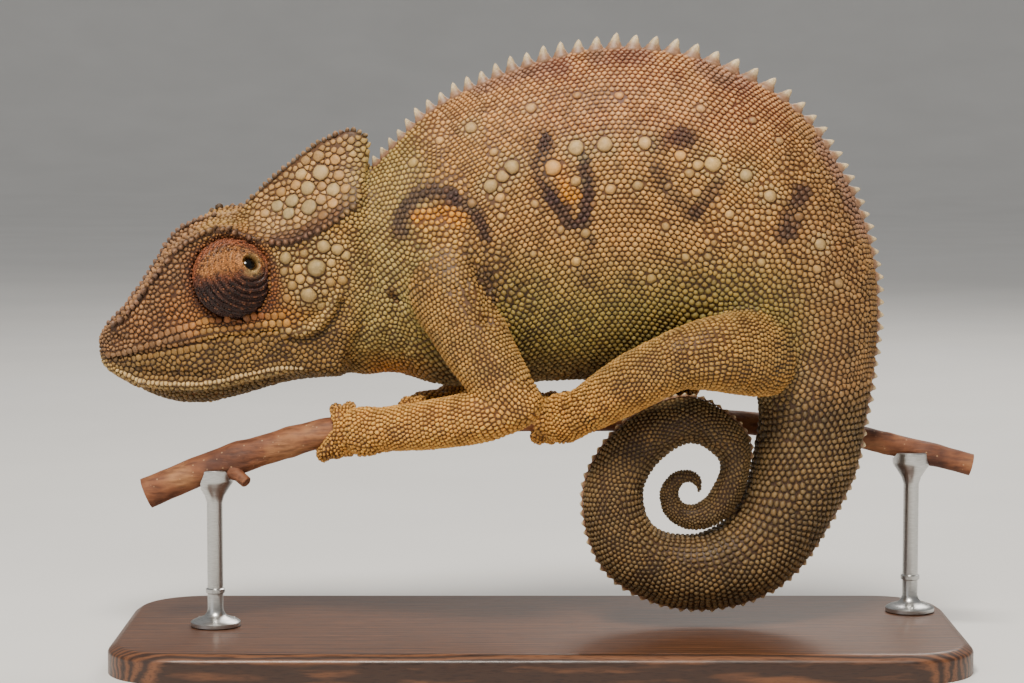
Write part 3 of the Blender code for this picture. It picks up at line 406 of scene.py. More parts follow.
RIGHT_LIMBS = {
    "upper_arm": LimbForm(((-30.0, 9.0, 114.0, 7.0, 10.0), (-26.5, 16.0, 107.0, 8.6, 11.8),
                           (-16.0, 26.0, 93.0, 8.4, 9.6), (-6.5, 34.0, 82.0, 7.4, 8.0),
                           (-4.5, 36.0, 80.0, 6.8, 7.0))),
    "forearm": LimbForm(((-4.2, 36.4, 79.4, 6.8, 7.0), (-10.0, 31.0, 76.0, 7.2, 7.4),
                         (-18.5, 23.0, 71.0, 6.4, 6.8), (-26.0, 14.5, 67.6, 5.6, 6.3))),
    "thigh": LimbForm(((72.0, 2.0, 86.0, 5.0, 9.0), (65.0, 13.0, 88.0, 8.8, 12.4),
                       (56.0, 26.5, 92.0, 8.8, 10.4), (48.5, 36.0, 94.6, 7.6, 8.2))),
    "shank": LimbForm(((48.2, 36.4, 94.0, 7.4, 8.0), (44.0, 30.0, 83.5, 7.2, 8.0),
                       (39.2, 22.2, 72.0, 5.9, 6.6))),
    "hand": LimbForm(((-26.4, 14.0, 67.4, 5.2, 6.0), (-30.0, 9.6, 66.4, 4.8, 7.0),
                      (-33.5, 7.4, 65.6, 4.2, 7.2), (-37.0, 6.4, 65.0, 3.2, 6.0)), 1.3),
    "foot": LimbForm(((39.0, 21.8, 71.4, 5.4, 6.2), (36.0, 19.6, 67.8, 4.8, 7.0),
                      (33.0, 18.0, 65.6, 4.2, 7.0), (30.0, 16.6, 65.0, 3.2, 6.0)), 1.3),
}


@dataclass(frozen=True)
class BranchForm:
    """The cut branch that the animal grips: points (x, y, z) and radius."""

    rows: tuple = (
        (-110.0, -5.2, 45.8, 4.3), (-95.2, -4.6, 51.8, 4.2), (-78.4, -3.8, 57.4, 4.2),
        (-58.8, -2.8, 62.6, 4.0), (-30.0, -1.2, 65.4, 3.8), (0.0, 0.3, 66.2, 3.7),
        (20.0, 4.5, 65.6, 3.5), (44.8, 12.5, 64.0, 3.4), (62.0, 16.8, 62.6, 3.3),
        (91.0, 18.6, 58.8, 3.2), (124.0, 17.0, 50.8, 3.1))

    def frames(self, x: Values) -> tuple:
        """Middle point, radius and the directions along, to the right and down at each x."""
        table = [(row[0], *row) for row in self.rows]
        x = np.atleast_1d(np.asarray(x, dtype=float))
        values = smooth(table, x)
        along = unit(smooth(table, x + 0.5)[:, :3] - smooth(table, x - 0.5)[:, :3])
        side = unit(Y_AXIS - along * along[:, 1:2])
        return values[:, :3], values[:, 3], along, side, -np.cross(along, side)


@dataclass(frozen=True)
class ToeForm:
    """One toe curled round the branch from the palm towards the far side."""

    grip_x: float
    side: float
    turn: float
    offset: float
    tip_angle: float
    slant: float = 0.0
    root_angle: float = -18.0
    radius: float = 2.25
    tip_radius: float = 1.5
    knuckle: float = 0.07          # how far the joints swell the toe
    clearance: float = 0.3

    def middle(self, branch: BranchForm, shares: np.ndarray) -> tuple:
        """Middle line, radius, direction out of the branch and along it at shares 0 to 1."""
        slant = self.slant * np.sin(np.minimum(shares / 0.55, 1.0) * math.pi / 2)
        centre, reach, along, side, down = branch.frames(
            self.grip_x + self.offset * (1 + 0.25 * shares) + slant)
        angle = np.radians(self.root_angle + (self.tip_angle - self.root_angle) * shares)[:, None]
        out = side * self.side * np.cos(angle) + down * self.turn * np.sin(angle)
        radius = self.radius + (self.tip_radius - self.radius) * shares
        radius = radius * (1.0 + self.knuckle * np.cos(shares * math.tau * 2.5))
        return centre + out * (reach + self.clearance + radius * 0.96)[:, None], radius, out, along

    def surface(self, branch: BranchForm, shares: np.ndarray, angles: np.ndarray,
                grow: float = 0.0) -> np.ndarray:
        """Points on the toe at shares of its length and angles round it."""
        middle, radius, out, along = self.middle(branch, shares)
        radius = radius + grow
        return ring_points(middle, out, along, radius, angles, radius * 0.9)


# For each foot: where it holds the branch, the side of its palm, its toes below and above,
# and how far those below and those above slant along the branch.
GRIPS = {"hand_left": (-51.5, -1, 3, 2, -6.7, -2.7), "hand_right": (-34.5, 1, 3, 2, -5.2, -0.6),
         "foot_left": (4.4, -1, 2, 3, -3.2, -1.0), "foot_right": (31.5, 1, 2, 3, -0.8, -1.5)}
TOE_PITCH = 3.3
REACH_BELOW, REACH_ABOVE = 150.0, 142.0    # degrees round the branch to a toe's tip
OUTER_TOE_LESS = 9.0                       # degrees less for each step from the middle toe


def all_toes() -> list[ToeForm]:
    """List the toes of all four feet."""
    toes = []
    for grip_x, side, below, above, slant_below, slant_above in GRIPS.values():
        for turn, count, reach, slant in ((1, below, REACH_BELOW, slant_below),
                                          (-1, above, REACH_ABOVE, slant_above)):
            for k in range(count):
                step = k - (count - 1) / 2
                toes.append(ToeForm(grip_x, side, turn, step * TOE_PITCH,
                                    reach - OUTER_TOE_LESS * abs(step), slant))
    return toes


BODY = BodyForm()
HEAD = HeadForm()
BRANCH = BranchForm()
TOES = all_toes()


def link(name: str, data: bpy.types.ID) -> bpy.types.Object:
    """Show a mesh, a lamp or a camera in the scene as an object of that name."""
    data.name = name
    obj = bpy.data.objects.new(name, data)
    bpy.context.scene.collection.objects.link(obj)
    return obj


def mesh_from(bm: bmesh.types.BMesh, name: str) -> bpy.types.Mesh:
    """Turn a bmesh into a mesh of that name, and free it."""
    mesh = bpy.data.meshes.new(name)
    bm.to_mesh(mesh)
    bm.free()
    return mesh


def add_to(whole: bmesh.types.BMesh, mesh: bpy.types.Mesh) -> None:
    """Put a mesh into a bmesh, and remove it with any object that shows it."""
    whole.from_mesh(mesh)
    bpy.data.meshes.remove(mesh, do_unlink=True)


def coordinates(mesh: bpy.types.Mesh) -> np.ndarray:
    """Read a mesh's points in millimetres."""
    flat = np.empty(len(mesh.vertices) * 3, dtype=np.float32)
    mesh.vertices.foreach_get("co", flat)
    return flat.reshape(-1, 3).astype(float) / MM


def set_coordinates(mesh: bpy.types.Mesh, points: np.ndarray) -> None:
    """Write a mesh's points, given in millimetres."""
    mesh.vertices.foreach_set("co", (points * MM).astype(np.float32).ravel())
    mesh.update()


def normals(mesh: bpy.types.Mesh) -> np.ndarray:
    """Read the direction out of the surface at each of a mesh's points."""
    flat = np.empty(len(mesh.vertices) * 3, dtype=np.float32)
    mesh.vertex_normals.foreach_get("vector", flat)
    return flat.reshape(-1, 3).astype(float)


def paint(mesh: bpy.types.Mesh, colours: np.ndarray) -> None:
    """Store a linear colour for each point of a mesh."""
    layer = mesh.color_attributes.new("tint", "FLOAT_COLOR", "POINT")
    full = np.ones((len(colours), 4), dtype=np.float32)
    full[:, :3] = colours
    layer.data.foreach_set("color", full.ravel())


def wrapped_grid(surface: Surface, along: int, around: int, first: float, last: float, closed: float,
                 name: str) -> bpy.types.Object:
    """Bend a flat grid into a closed tube over a surface, with its seam and ends joined.

    Args:
        surface: gives points for places along and places around.
        along: how many steps the grid has along.
        around: how many steps it has around.
        first: the first place along.
        last: the last place along.
        closed: the place around at which the tube meets itself, from 0.
        name: the object's name.

    Returns:
        The closed tube as an object.
    """
    bm = bmesh.new()
    bmesh.ops.create_grid(bm, x_segments=along, y_segments=around, size=1.0)
    flat = np.array([vert.co[:2] for vert in bm.verts])
    places = first + (last - first) * (flat[:, 0] * 0.5 + 0.5)
    turns = closed * (flat[:, 1] * 0.5 + 0.5)
    points = surface(places, turns) * MM
    for vert, point in zip(bm.verts, points):
        vert.co = point
    bmesh.ops.remove_doubles(bm, verts=bm.verts, dist=1e-7)
    rims = [edge for edge in bm.edges if len(edge.link_faces) == 1]
    bmesh.ops.holes_fill(bm, edges=rims, sides=0)
    bmesh.ops.recalc_face_normals(bm, faces=bm.faces)
    return link(name, mesh_from(bm, name))


def bake_modifiers(obj: bpy.types.Object) -> None:
    """Take an object's modifiers into its mesh."""
    graph = bpy.context.evaluated_depsgraph_get()
    graph.update()
    baked = bpy.data.meshes.new_from_object(obj.evaluated_get(graph))
    obj.modifiers.clear()
    obj.data = baked
    baked.name = obj.name


def carve(obj: bpy.types.Object, rooms: Sequence) -> None:
    """Cut the room of other objects out of one, and remove them."""
    for room in rooms:
        cut = obj.modifiers.new("room", "BOOLEAN")
        cut.operation = "DIFFERENCE"
        cut.solver = "EXACT"
        cut.object = room
    bake_modifiers(obj)
    for room in rooms:
        bpy.data.objects.remove(room)


def inset(obj: bpy.types.Object, depth: float) -> None:
    """Move an object's surface inwards."""
    set_coordinates(obj.data, coordinates(obj.data) - normals(obj.data) * depth)


@dataclass(frozen=True)
class ViewForm:
    """The photograph's point of view and the picture plane through the animal."""

    target: tuple = (-7.8, 0.0, 87.8)
    distance: float = 796.4
    elevation: float = 5.0

    def axes(self) -> tuple:
        """Directions back to the camera and up the picture."""
        tilt = math.radians(self.elevation)
        return (np.array((0.0, -math.cos(tilt), math.sin(tilt))),
                np.array((0.0, math.sin(tilt), math.cos(tilt))))

    def eye(self) -> np.ndarray:
        """Where the camera stands."""
        return np.array(self.target) + self.axes()[0] * self.distance

    def seen(self, points: np.ndarray) -> np.ndarray:
        """Where points show on the picture plane, those of the right side as if mirrored.

        Args:
            points: places in millimetres.

        Returns:
            The places (x, z) on the picture plane, in the animal's own size.
        """
        back, up = self.axes()
        gap = points * (1.0, 0.0, 1.0) - np.abs(points * (0.0, 1.0, 0.0)) - self.eye()
        scale = self.distance / -(gap @ back)
        return np.stack((self.target[0] + gap[:, 0] * scale, self.target[2] + gap @ up * scale),
                        axis=1)

    def ray(self, x: float, z: float, side: int) -> tuple:
        """Start and direction of the line of sight that shows at (x, z), on either side."""
        up = self.axes()[1]
        place = np.array(self.target) + (x - self.target[0], 0.0, 0.0) + up * (z - self.target[2])
        mirror = np.array((1.0, -side, 1.0))
        return self.eye() * mirror, unit(place - self.eye()) * mirror


VIEW = ViewForm()


@dataclass(frozen=True)
class EyeForm:
    """The eye turrets: where they sit, how large they are and where each one looks."""

    centre: tuple = (-84.0, 10.9, 108.6)
    radius: float = 11.5
    depth: float = 9.0
    gaze_left: tuple = (0.47, -0.69, 0.55)
    gaze_right: tuple = (-0.30, 0.86, 0.42)
    eyeball: float = 3.0
    opening: float = 1.9

    def matrix(self, side: float, grow: float = 0.0) -> Matrix:
        """Matrix from a unit ball with its pole up to the turret, looking along its gaze."""
        gaze = Vector(self.gaze_left if side < 0 else self.gaze_right).normalized()
        turn = Vector((0, 0, 1)).rotation_difference(gaze).to_matrix().to_4x4()
        radius, depth = self.radius + grow, self.depth + grow
        size = Matrix.Diagonal((radius, depth, radius, 1.0))
        x, y, z = self.centre
        return HEAD.turn() @ Matrix.Translation((x, side * y, z)) @ size @ turn

    def orbit(self, side: float, grow: float) -> bpy.types.Object:
        """A plain ball that cuts the turret's room out of the head."""
        bm = bmesh.new()
        bmesh.ops.create_uvsphere(bm, u_segments=48, v_segments=32, radius=1.0)
        matrix = Matrix.Scale(MM, 4) @ self.matrix(side, grow)
        bmesh.ops.transform(bm, matrix=matrix, verts=bm.verts)
        bmesh.ops.recalc_face_normals(bm, faces=bm.faces)
        return link("orbit", mesh_from(bm, "orbit"))


EYE = EyeForm()


@dataclass(frozen=True)
class Fold:
    """A crease or a welt in the skin along a line of (x, z) seen from the side."""

    line: tuple
    height: float                  # below zero for a crease
    width: float
    on_head: bool = False

    def lift(self, points: np.ndarray) -> np.ndarray:
        """How far each point moves out of the surface."""
        seen = HEAD.level(points) if self.on_head else points
        near = distance_to_line(seen[:, (0, 2)], self.line)
        return self.height * np.exp(-(near / self.width) ** 2)


def shifted(line: Sequence, x: float, z: float) -> tuple:
    """Move a line of (x, z)."""
    return tuple((a + x, b + z) for a, b in line)


def distance_to_line(points: np.ndarray, line: Sequence) -> np.ndarray:
    """Distance of flat points to a line through a few marks."""
    best = np.full(len(points), 1e9)
    marks = np.asarray(line, dtype=float)
    for start, end in zip(marks, marks[1:]):
        run = end - start
        share = np.clip((points - start) @ run / max(run @ run, 1e-9), 0.0, 1.0)
        best = np.minimum(best, np.linalg.norm(points - start - share[:, None] * run, axis=1))
    return best


MOUTH_CORNER_X = -66.0


def mouth_line(lift: float = 0.0) -> tuple:
    """The line where the lips meet, on the level head, as (x, z)."""
    xs = np.linspace(HEAD.rows[1][0], MOUTH_CORNER_X, 14)
    mouth = smooth(HEAD.rows, xs)[:, 0]
    return tuple((float(x), float(z) + lift) for x, z in zip(xs, mouth))


# The ridge that runs from the corner of the mouth back and up, on the level head, as (x, z).
MOUTH_CORNER = ((-70.0, 95.4), (-66.0, 95.2), (-61.5, 96.6), (-57.5, 101.0), (-55.6, 106.0))
CORNER_HOLLOW = (1.4, -2.6)    # how far the hollow beside it is moved from the ridge


def head_folds() -> list[Fold]:
    """Folds of the head: lips, the corner of the mouth, the jaw's edge and the cheek."""
    jaw_x = np.linspace(-112.0, -72.0, 9)
    jaw = tuple((float(x), float(z) + 0.4) for x, z in zip(jaw_x, smooth(HEAD.rows, jaw_x)[:, 6]))
    return [Fold(line, height, width, on_head=True) for line, height, width in (
        (shifted(mouth_line(), 0.0, -0.35), -0.75, 0.5),
        (mouth_line(1.5), 0.25, 0.9),
        (MOUTH_CORNER, 1.25, 1.2),
        (shifted(MOUTH_CORNER, *CORNER_HOLLOW), -0.8, 1.2),
        (((-65.0, 98.4), (-61.0, 100.8), (-58.6, 104.5)), -0.6, 1.1),
        (jaw, 0.75, 1.1),
        (shifted(jaw, 0.0, -3.0), -0.5, 1.2),
        (shifted(jaw[:5], 0.0, 3.2), -0.7, 1.2),
        (((-104.0, 97.4), (-96.0, 96.4), (-86.0, 96.2), (-76.0, 99.0)), -0.45, 1.4),
        (((-118.6, 89.7), (-117.4, 89.3)), -1.1, 0.9))]


def fan(centre: tuple, first: float, step: float, count: int, inner: float, outer: float,
        height: float, width: float) -> list[Fold]:
    """Folds that spread from a place like the ribs of a fan.

    Args:
        centre: the place, as (x, z).
        first: the first rib's angle in degrees.
        step: degrees from one rib to the next.
        count: how many ribs there are.
        inner: distance from the place to where the ribs start.
        outer: distance to where they end.
        height: how far they rise.
        width: how wide they are.

    Returns:
        The folds.
    """
    angles = [math.radians(first + step * turn) for turn in range(count)]
    return [Fold(tuple((centre[0] + reach * math.cos(angle), centre[1] + reach * math.sin(angle))
                       for reach in (inner, outer)), height, width) for angle in angles]


ARMPIT = (-15.0, 93.5)
GROIN = (46.0, 97.0)


def body_folds() -> list[Fold]:
    """Folds of the skin at the neck, shoulders, armpits, groins and belly."""
    return [
        Fold(((-48.5, 118.0), (-46.5, 108.0), (-47.5, 98.0), (-50.5, 89.0)), -0.8, 1.6),
        Fold(((-44.5, 114.0), (-42.5, 104.0), (-44.0, 94.0), (-47.0, 86.0)), 0.5, 1.6),
        Fold(((-40.8, 101.6), (-38.9, 100.6)), -1.3, 1.1),
        Fold(((-40.5, 97.0), (-37.5, 90.0), (-38.0, 83.0)), -0.7, 1.5),
        Fold(((-17.5, 112.0), (-14.5, 103.0), (-13.5, 95.0)), -1.0, 1.6),
        Fold(((-27.0, 124.5), (-20.0, 121.0), (-15.0, 113.0)), -0.5, 2.0),
        *fan(ARMPIT, 38.0, 15.0, 7, 2.5, 14.0, -0.6, 0.8),
        *fan(GROIN, 30.0, 22.0, 6, 6.0, 14.0, -0.22, 1.1)]


@dataclass
class Skin:
    """The one skin of the whole animal, which lies inside the solids by the coat's depth."""

    voxel: float = SKIN_VOXEL
    depth: float = COAT_DEPTH
    toe_growth: float = 0.42
    fine_beside_mouth: float = 1.7
    throat_lobe: float = 2.8       # how far the loose throat skin hangs
    throat_middle: tuple = (-48.2, 79.0)
    obj: bpy.types.Object | None = None
    tree: BVHTree | None = None
    # Where limbs grow out of the body or bend, and how far round there the skin is evened out.
    soft_spots: tuple = (
        ((-28.0, -17.0, 112.0), 10.0), ((-28.0, 17.0, 113.0), 10.0), ((-30.0, -15.0, 97.0), 9.0),
        ((-30.0, 15.0, 98.0), 9.0), ((60.0, -14.0, 92.0), 12.0), ((62.0, 15.0, 95.0), 12.0),
        ((-7.0, -25.0, 73.6), 6.0), ((-4.3, 36.0, 79.7), 6.0), ((36.7, -27.0, 85.2), 7.0),
        ((48.3, 36.2, 94.3), 7.0), ((-42.4, -13.7, 64.8), 6.0), ((-26.2, 14.2, 67.5), 6.0),
        ((12.4, -14.6, 70.0), 6.0), ((39.1, 22.0, 71.7), 6.0), ((-52.0, -14.0, 92.0), 10.0),
        ((-52.0, 6.0, 84.0), 9.0), ((-51.0, 12.0, 100.0), 11.0), ((-50.0, -18.0, 108.0), 11.0),
        ((-49.0, 14.0, 118.0), 9.0), ((-49.0, -10.0, 122.0), 9.0), ((-53.0, -8.0, 80.0), 8.0))

    def head_part(self) -> bpy.types.Object:
        """The head with the rooms of both eye turrets cut out."""
        def both_sides(x: np.ndarray, marks: np.ndarray) -> np.ndarray:
            """Read the outline up the left side and down the right one."""
            left = marks <= CROWN_MARK
            return HEAD.surface(x, np.where(left, marks, 2 * CROWN_MARK - marks),
                                np.where(left, -1, 1))
        head = wrapped_grid(both_sides, 96, 132, HEAD.rows[0][0], HEAD.rows[-1][0],
                            2 * CROWN_MARK, "head form")
        carve(head, [EYE.orbit(side, 0.15) for side in (-1, 1)])
        return head

    def parts(self) -> list[bpy.types.Object]:
        """Closed forms of body, head, limbs, palms and toes, overlapping where they join."""
        parts = [wrapped_grid(BODY.surface, 280, 72, -0.55, BODY.last(), 2.0, "body form"),
                 self.head_part()]
        for limbs in (LEFT_LIMBS, RIGHT_LIMBS):
            for name, limb in limbs.items():
                parts.append(wrapped_grid(limb.surface, 40, 28, -0.99, len(limb.rows) - 0.01,
                                          math.tau, name + " form"))
        # The toes are a little fuller here than they are in the end, as evening out thins them.
        parts += [wrapped_grid(lambda shares, angles, toe=toe: toe.surface(
            BRANCH, shares, angles, self.toe_growth), 20, 14, 0.0, 1.0, math.tau, "toe form")
            for toe in TOES]
        return parts

    def build(self) -> bpy.types.Object:
        """Join the forms into one surface, even it out and lay the folds in it."""
        whole = bmesh.new()
        for part in self.parts():
            inset(part, self.depth)
            add_to(whole, part.data)
        self.obj = link("skin", mesh_from(whole, "skin"))
        remesh = self.obj.modifiers.new("one surface", "REMESH")
        remesh.mode = "VOXEL"
        remesh.voxel_size = self.voxel * MM
        bake_modifiers(self.obj)
        self.refine_mouth()
        self.soften()
        points, out = coordinates(self.obj.data), normals(self.obj.data)
        lift = np.zeros(len(points))
        for fold in head_folds():
            lift += np.where(points[:, 0] < -48.0, fold.lift(points), 0.0)
        flank = fade(np.abs(points[:, 1]), 5.0, 9.0)
        for fold in body_folds():
            lift += fold.lift(points) * flank
        x, z = self.throat_middle
        throat = np.hypot((points[:, 0] - x) / 6.0, (points[:, 2] - z) / 4.0)
        lift += self.throat_lobe * np.exp(-(throat ** 2)) * fade(out[:, 2], 0.1, -0.7)
        lift += 0.12 * hash_noise(points, 5.0) + 0.06 * hash_noise(points, 2.4, 2.0)
        set_coordinates(self.obj.data, points + out * lift[:, None])
        self.obj.data.shade_smooth()
        self.refresh_tree()
        return self.obj

    def refine_mouth(self) -> None:
        """Give the skin more points beside the line of the mouth."""
        mesh = self.obj.data
        seen = HEAD.level(coordinates(mesh))
        near = distance_to_line(seen[:, (0, 2)], mouth_line(-0.3)) < self.fine_beside_mouth
        near &= seen[:, 0] < MOUTH_CORNER_X + 3
        bm = bmesh.new()
        bm.from_mesh(mesh)
        edges = [e for e in bm.edges if near[e.verts[0].index] and near[e.verts[1].index]]
        bmesh.ops.subdivide_edges(bm, edges=edges, cuts=1, use_grid_fill=True)
        bm.to_mesh(mesh)
        bm.free()

    def soften(self) -> None:
        """Even the surface out, most of all where limbs and head join the body."""
        points = coordinates(self.obj.data)
        weight = np.zeros(len(points))
        for centre, radius in self.soft_spots:
            reach = np.linalg.norm(points - np.array(centre), axis=1)
            weight = np.maximum(weight, fade(reach, radius * 1.3, radius * 0.5))
        group = self.obj.vertex_groups.new(name="joins")
        for step in np.linspace(0.1, 1.0, 10):
            chosen = np.nonzero(np.abs(weight - step) <= 0.05)[0]
            group.add(chosen.tolist(), float(step), "REPLACE")
        for factor, repeat, where in ((0.5, 2, ""), (0.6, 26, "joins")):
            even = self.obj.modifiers.new("even", "SMOOTH")
            even.factor = factor
            even.iterations = repeat
            even.vertex_group = where
        bake_modifiers(self.obj)
        self.obj.vertex_groups.clear()

    def refresh_tree(self) -> None:
        """Make the search tree that finds the nearest point of the skin."""
        faces = [tuple(face.vertices) for face in self.obj.data.polygons]
        points = [tuple(point) for point in coordinates(self.obj.data)]
        self.tree = BVHTree.FromPolygons(points, faces)

    def regions(self) -> np.ndarray:
        """Number of the region that each of the skin's points belongs to."""
        points = coordinates(self.obj.data)
        region = np.full(len(points), REGIONS.index(Region.FLANK_LEFT))
        x, y, z = points.T
        head = x < -50.0
        low = (z < 78.0) & (x < 12.0) & ~head
        out = (np.abs(y) > 21.0) & (z < 104.0)
        region[head & (z > 74.0)] = REGIONS.index(Region.HEAD)
        region[low | out | (head & (z <= 74.0))] = REGIONS.index(Region.ARMS)
        return region

    def colour(self) -> None:
        """Store the colour between the scales at each point of the skin."""
        points = coordinates(self.obj.data)
        paint(self.obj.data, MARKINGS.groove(points, self.regions()))

    def seen_at(self, x: float, z: float, side: int) -> Vector | None:
        """Point of the skin that shows at (x, z) from a side, if there is one."""
        return self.tree.ray_cast(*VIEW.ray(x, z, side))[0]

    def nearest(self, points: np.ndarray) -> tuple:
        """Nearest point of the skin and the direction out of it, for each of many points."""
        places, outs = np.empty_like(points), np.empty_like(points)
        for i, point in enumerate(points):
            places[i], outs[i], _, _ = self.tree.find_nearest(point)
        return places, outs


class Nodes:
    """A short way to add and join the nodes of one material."""

    def __init__(self, name: str) -> None:
        """Start a material of that name with its main shader."""
        self.material = bpy.data.materials.new(name)
        self.material.use_nodes = True
        self.tree = self.material.node_tree
        self.shader = self.tree.nodes["Principled BSDF"]

    def add(self, kind: str, inputs: dict | None = None, **settings: str) -> bpy.types.Node:
        """Add a node, and set its properties and the values of its inputs."""
        node = self.tree.nodes.new(kind)
        for key, value in settings.items():
            setattr(node, key, value)
        self.give(node, inputs or {})
        return node

    def give(self, node: bpy.types.Node, inputs: dict) -> None:
        """Set the values of a node's inputs, or link those that are given as sockets."""
        for name, value in inputs.items():
            if isinstance(value, bpy.types.NodeSocket):
                self.tree.links.new(value, node.inputs[name])
            else:
                node.inputs[name].default_value = value

    def finish(self, colour: bpy.types.NodeSocket, inputs: dict | None = None) -> bpy.types.Material:
        """Give the shader its colour and other inputs, and return the material."""
        self.give(self.shader, {"Base Color": colour, **(inputs or {})})
        return self.material

    def place(self) -> bpy.types.NodeSocket:
        """Object coordinates, which are metres in the model's own frame."""
        return self.add("ShaderNodeTexCoord").outputs["Object"]

    def stretched(self, scale: tuple) -> bpy.types.NodeSocket:
        """Object coordinates, scaled along each axis."""
        node = self.add("ShaderNodeMapping", {"Scale": scale, "Vector": self.place()})
        return node.outputs["Vector"]

    def noise(self, scale: float, detail: float = 2.0,
              place: bpy.types.NodeSocket | None = None) -> bpy.types.NodeSocket:
        """Noise of so many cells a metre."""
        node = self.add("ShaderNodeTexNoise", {"Scale": scale, "Detail": detail,
                                               "Vector": place or self.place()})
        return node.outputs["Fac"]

    def ramp(self, value: bpy.types.NodeSocket, *stops: tuple) -> bpy.types.NodeSocket:
        """Turn a value into a colour by stops of (place, colour) or (place, grey)."""
        def full(colour: tuple | float) -> tuple:
            """Colour with its opacity."""
            return (*(colour if isinstance(colour, tuple) else (colour,) * 3), 1.0)
        node = self.add("ShaderNodeValToRGB", {"Fac": value})
        elements = node.color_ramp.elements
        for end in (0, -1):
            elements[end].position = stops[end][0]
            elements[end].color = full(stops[end][1])
        for place, colour in stops[1:-1]:
            elements.new(place).color = full(colour)
        return node.outputs["Color"]

    def mix(self, kind: str, first: bpy.types.NodeSocket, second: bpy.types.NodeSocket | tuple,
            share: bpy.types.NodeSocket | float = 1.0) -> bpy.types.NodeSocket:
        """Mix two colours by a share, in one of the shader's ways of mixing."""
        node = self.add("ShaderNodeMix", data_type="RGBA", blend_type=kind)
        second = (*second, 1.0) if isinstance(second, tuple) else second
        self.give(node, {0: share, 6: first, 7: second})
        return node.outputs[2]

    def tint(self) -> bpy.types.NodeSocket:
        """The colour stored at the mesh's own points."""
        return self.add("ShaderNodeVertexColor", layer_name="tint").outputs["Color"]

    def bump(self, height: bpy.types.NodeSocket, strength: float, distance: float) -> None:
        """Raise the surface's shading by a height, over a distance in metres."""
        node = self.add("ShaderNodeBump", {"Strength": strength, "Distance": distance,
                                           "Height": height})
        self.give(self.shader, {"Normal": node.outputs["Normal"]})

    def rough(self, value: bpy.types.NodeSocket, low: float, high: float) -> None:
        """Let roughness run from low to high with a value of 0 to 1."""
        node = self.add("ShaderNodeMapRange", {"To Min": low, "To Max": high, "Value": value})
        self.give(self.shader, {"Roughness": node.outputs["Result"]})


@dataclass(frozen=True)
class SkinFinish:
    """Skin or scales: the stored tint, broken up by fine speckle, with a dry sheen."""

    name: str = "scaly_skin"
    speckle: float = 0.22
    low_rough: float = 0.42
    high_rough: float = 0.68
    bump_distance: float = 0.00012

    def make(self) -> bpy.types.Material:
        """Build the material."""
        nodes = Nodes(self.name)
        fine = nodes.noise(2600.0, 3.0)
        dark = nodes.ramp(fine, (0.3, 1 - self.speckle), (0.7, 1.0))
        warm = nodes.ramp(nodes.noise(260.0), (0.35, (0.93, 0.96, 1.0)), (0.65, (1.0, 0.98, 0.93)))
        tint = nodes.mix("MULTIPLY", nodes.tint(), dark)
        nodes.rough(fine, self.low_rough, self.high_rough)
        nodes.bump(fine, 0.5, self.bump_distance)
        return nodes.finish(nodes.mix("MULTIPLY", tint, warm), {"Specular IOR Level": 0.42})


@dataclass(frozen=True)
class HornFinish:
    """Horny spines and claws: a tint stored at the points, with fine lengthwise growth."""

    name: str = "horn"
    gloss: float = 0.38

    def make(self) -> bpy.types.Material:
        """Build the material."""
        nodes = Nodes(self.name)
        grain = nodes.noise(1800.0, 4.0)
        dark = nodes.ramp(grain, (0.32, (0.74, 0.70, 0.64)), (0.62, 1.0))
        nodes.rough(grain, self.gloss, self.gloss + 0.2)
        nodes.bump(grain, 0.4, 0.0001)
        return nodes.finish(nodes.mix("MULTIPLY", nodes.tint(), dark),
                            {"Subsurface Weight": 0.03,
                             "Subsurface Radius": (0.0012, 0.0008, 0.0005)})


@dataclass(frozen=True)
class EyeFinish:
    """A wet eyeball: its stored tint under a clear coat."""

    name: str = "wet_eye"

    def make(self) -> bpy.types.Material:
        """Build the material."""
        nodes = Nodes(self.name)
        shade = nodes.ramp(nodes.noise(3000.0, 3.0), (0.3, 0.8), (0.7, 1.0))
        return nodes.finish(nodes.mix("MULTIPLY", nodes.tint(), shade),
                            {"Roughness": 0.12, "Specular IOR Level": 0.25, "Coat Weight": 0.3,
                             "Coat Roughness": 0.03})


@dataclass(frozen=True)
class BarkFinish:
    """Thin reddish bark with pale corky specks and fine lengthwise wrinkles."""

    name: str = "bark"
    hollow: tuple = (84, 46, 30)
    face: tuple = (132, 80, 50)
    ridge: tuple = (170, 118, 76)
    cork: tuple = (188, 150, 110)

    def make(self) -> bpy.types.Material:
        """Build the material."""
        nodes = Nodes(self.name)
        grain = nodes.noise(900.0, 6.0, nodes.stretched((0.22, 1.0, 1.0)))
        hollow, face, ridge, cork = (tuple(linear(*tone)) for tone in (
            self.hollow, self.face, self.ridge, self.cork))
        base = nodes.ramp(nodes.noise(95.0, 4.0), (0.3, hollow), (0.5, face), (0.72, ridge))
        lines = nodes.ramp(grain, (0.34, (0.42, 0.36, 0.34)), (0.55, 1.0))
        specks = nodes.add("ShaderNodeTexVoronoi", {"Scale": 520.0, "Vector": nodes.place()})
        spot = nodes.ramp(specks.outputs["Distance"], (0.08, 0.6), (0.15, 0.0))
        nodes.rough(grain, 0.52, 0.85)
        nodes.bump(grain, 0.7, 0.0005)
        return nodes.finish(nodes.mix("MIX", nodes.mix("MULTIPLY", base, lines, 0.8), cork, spot))


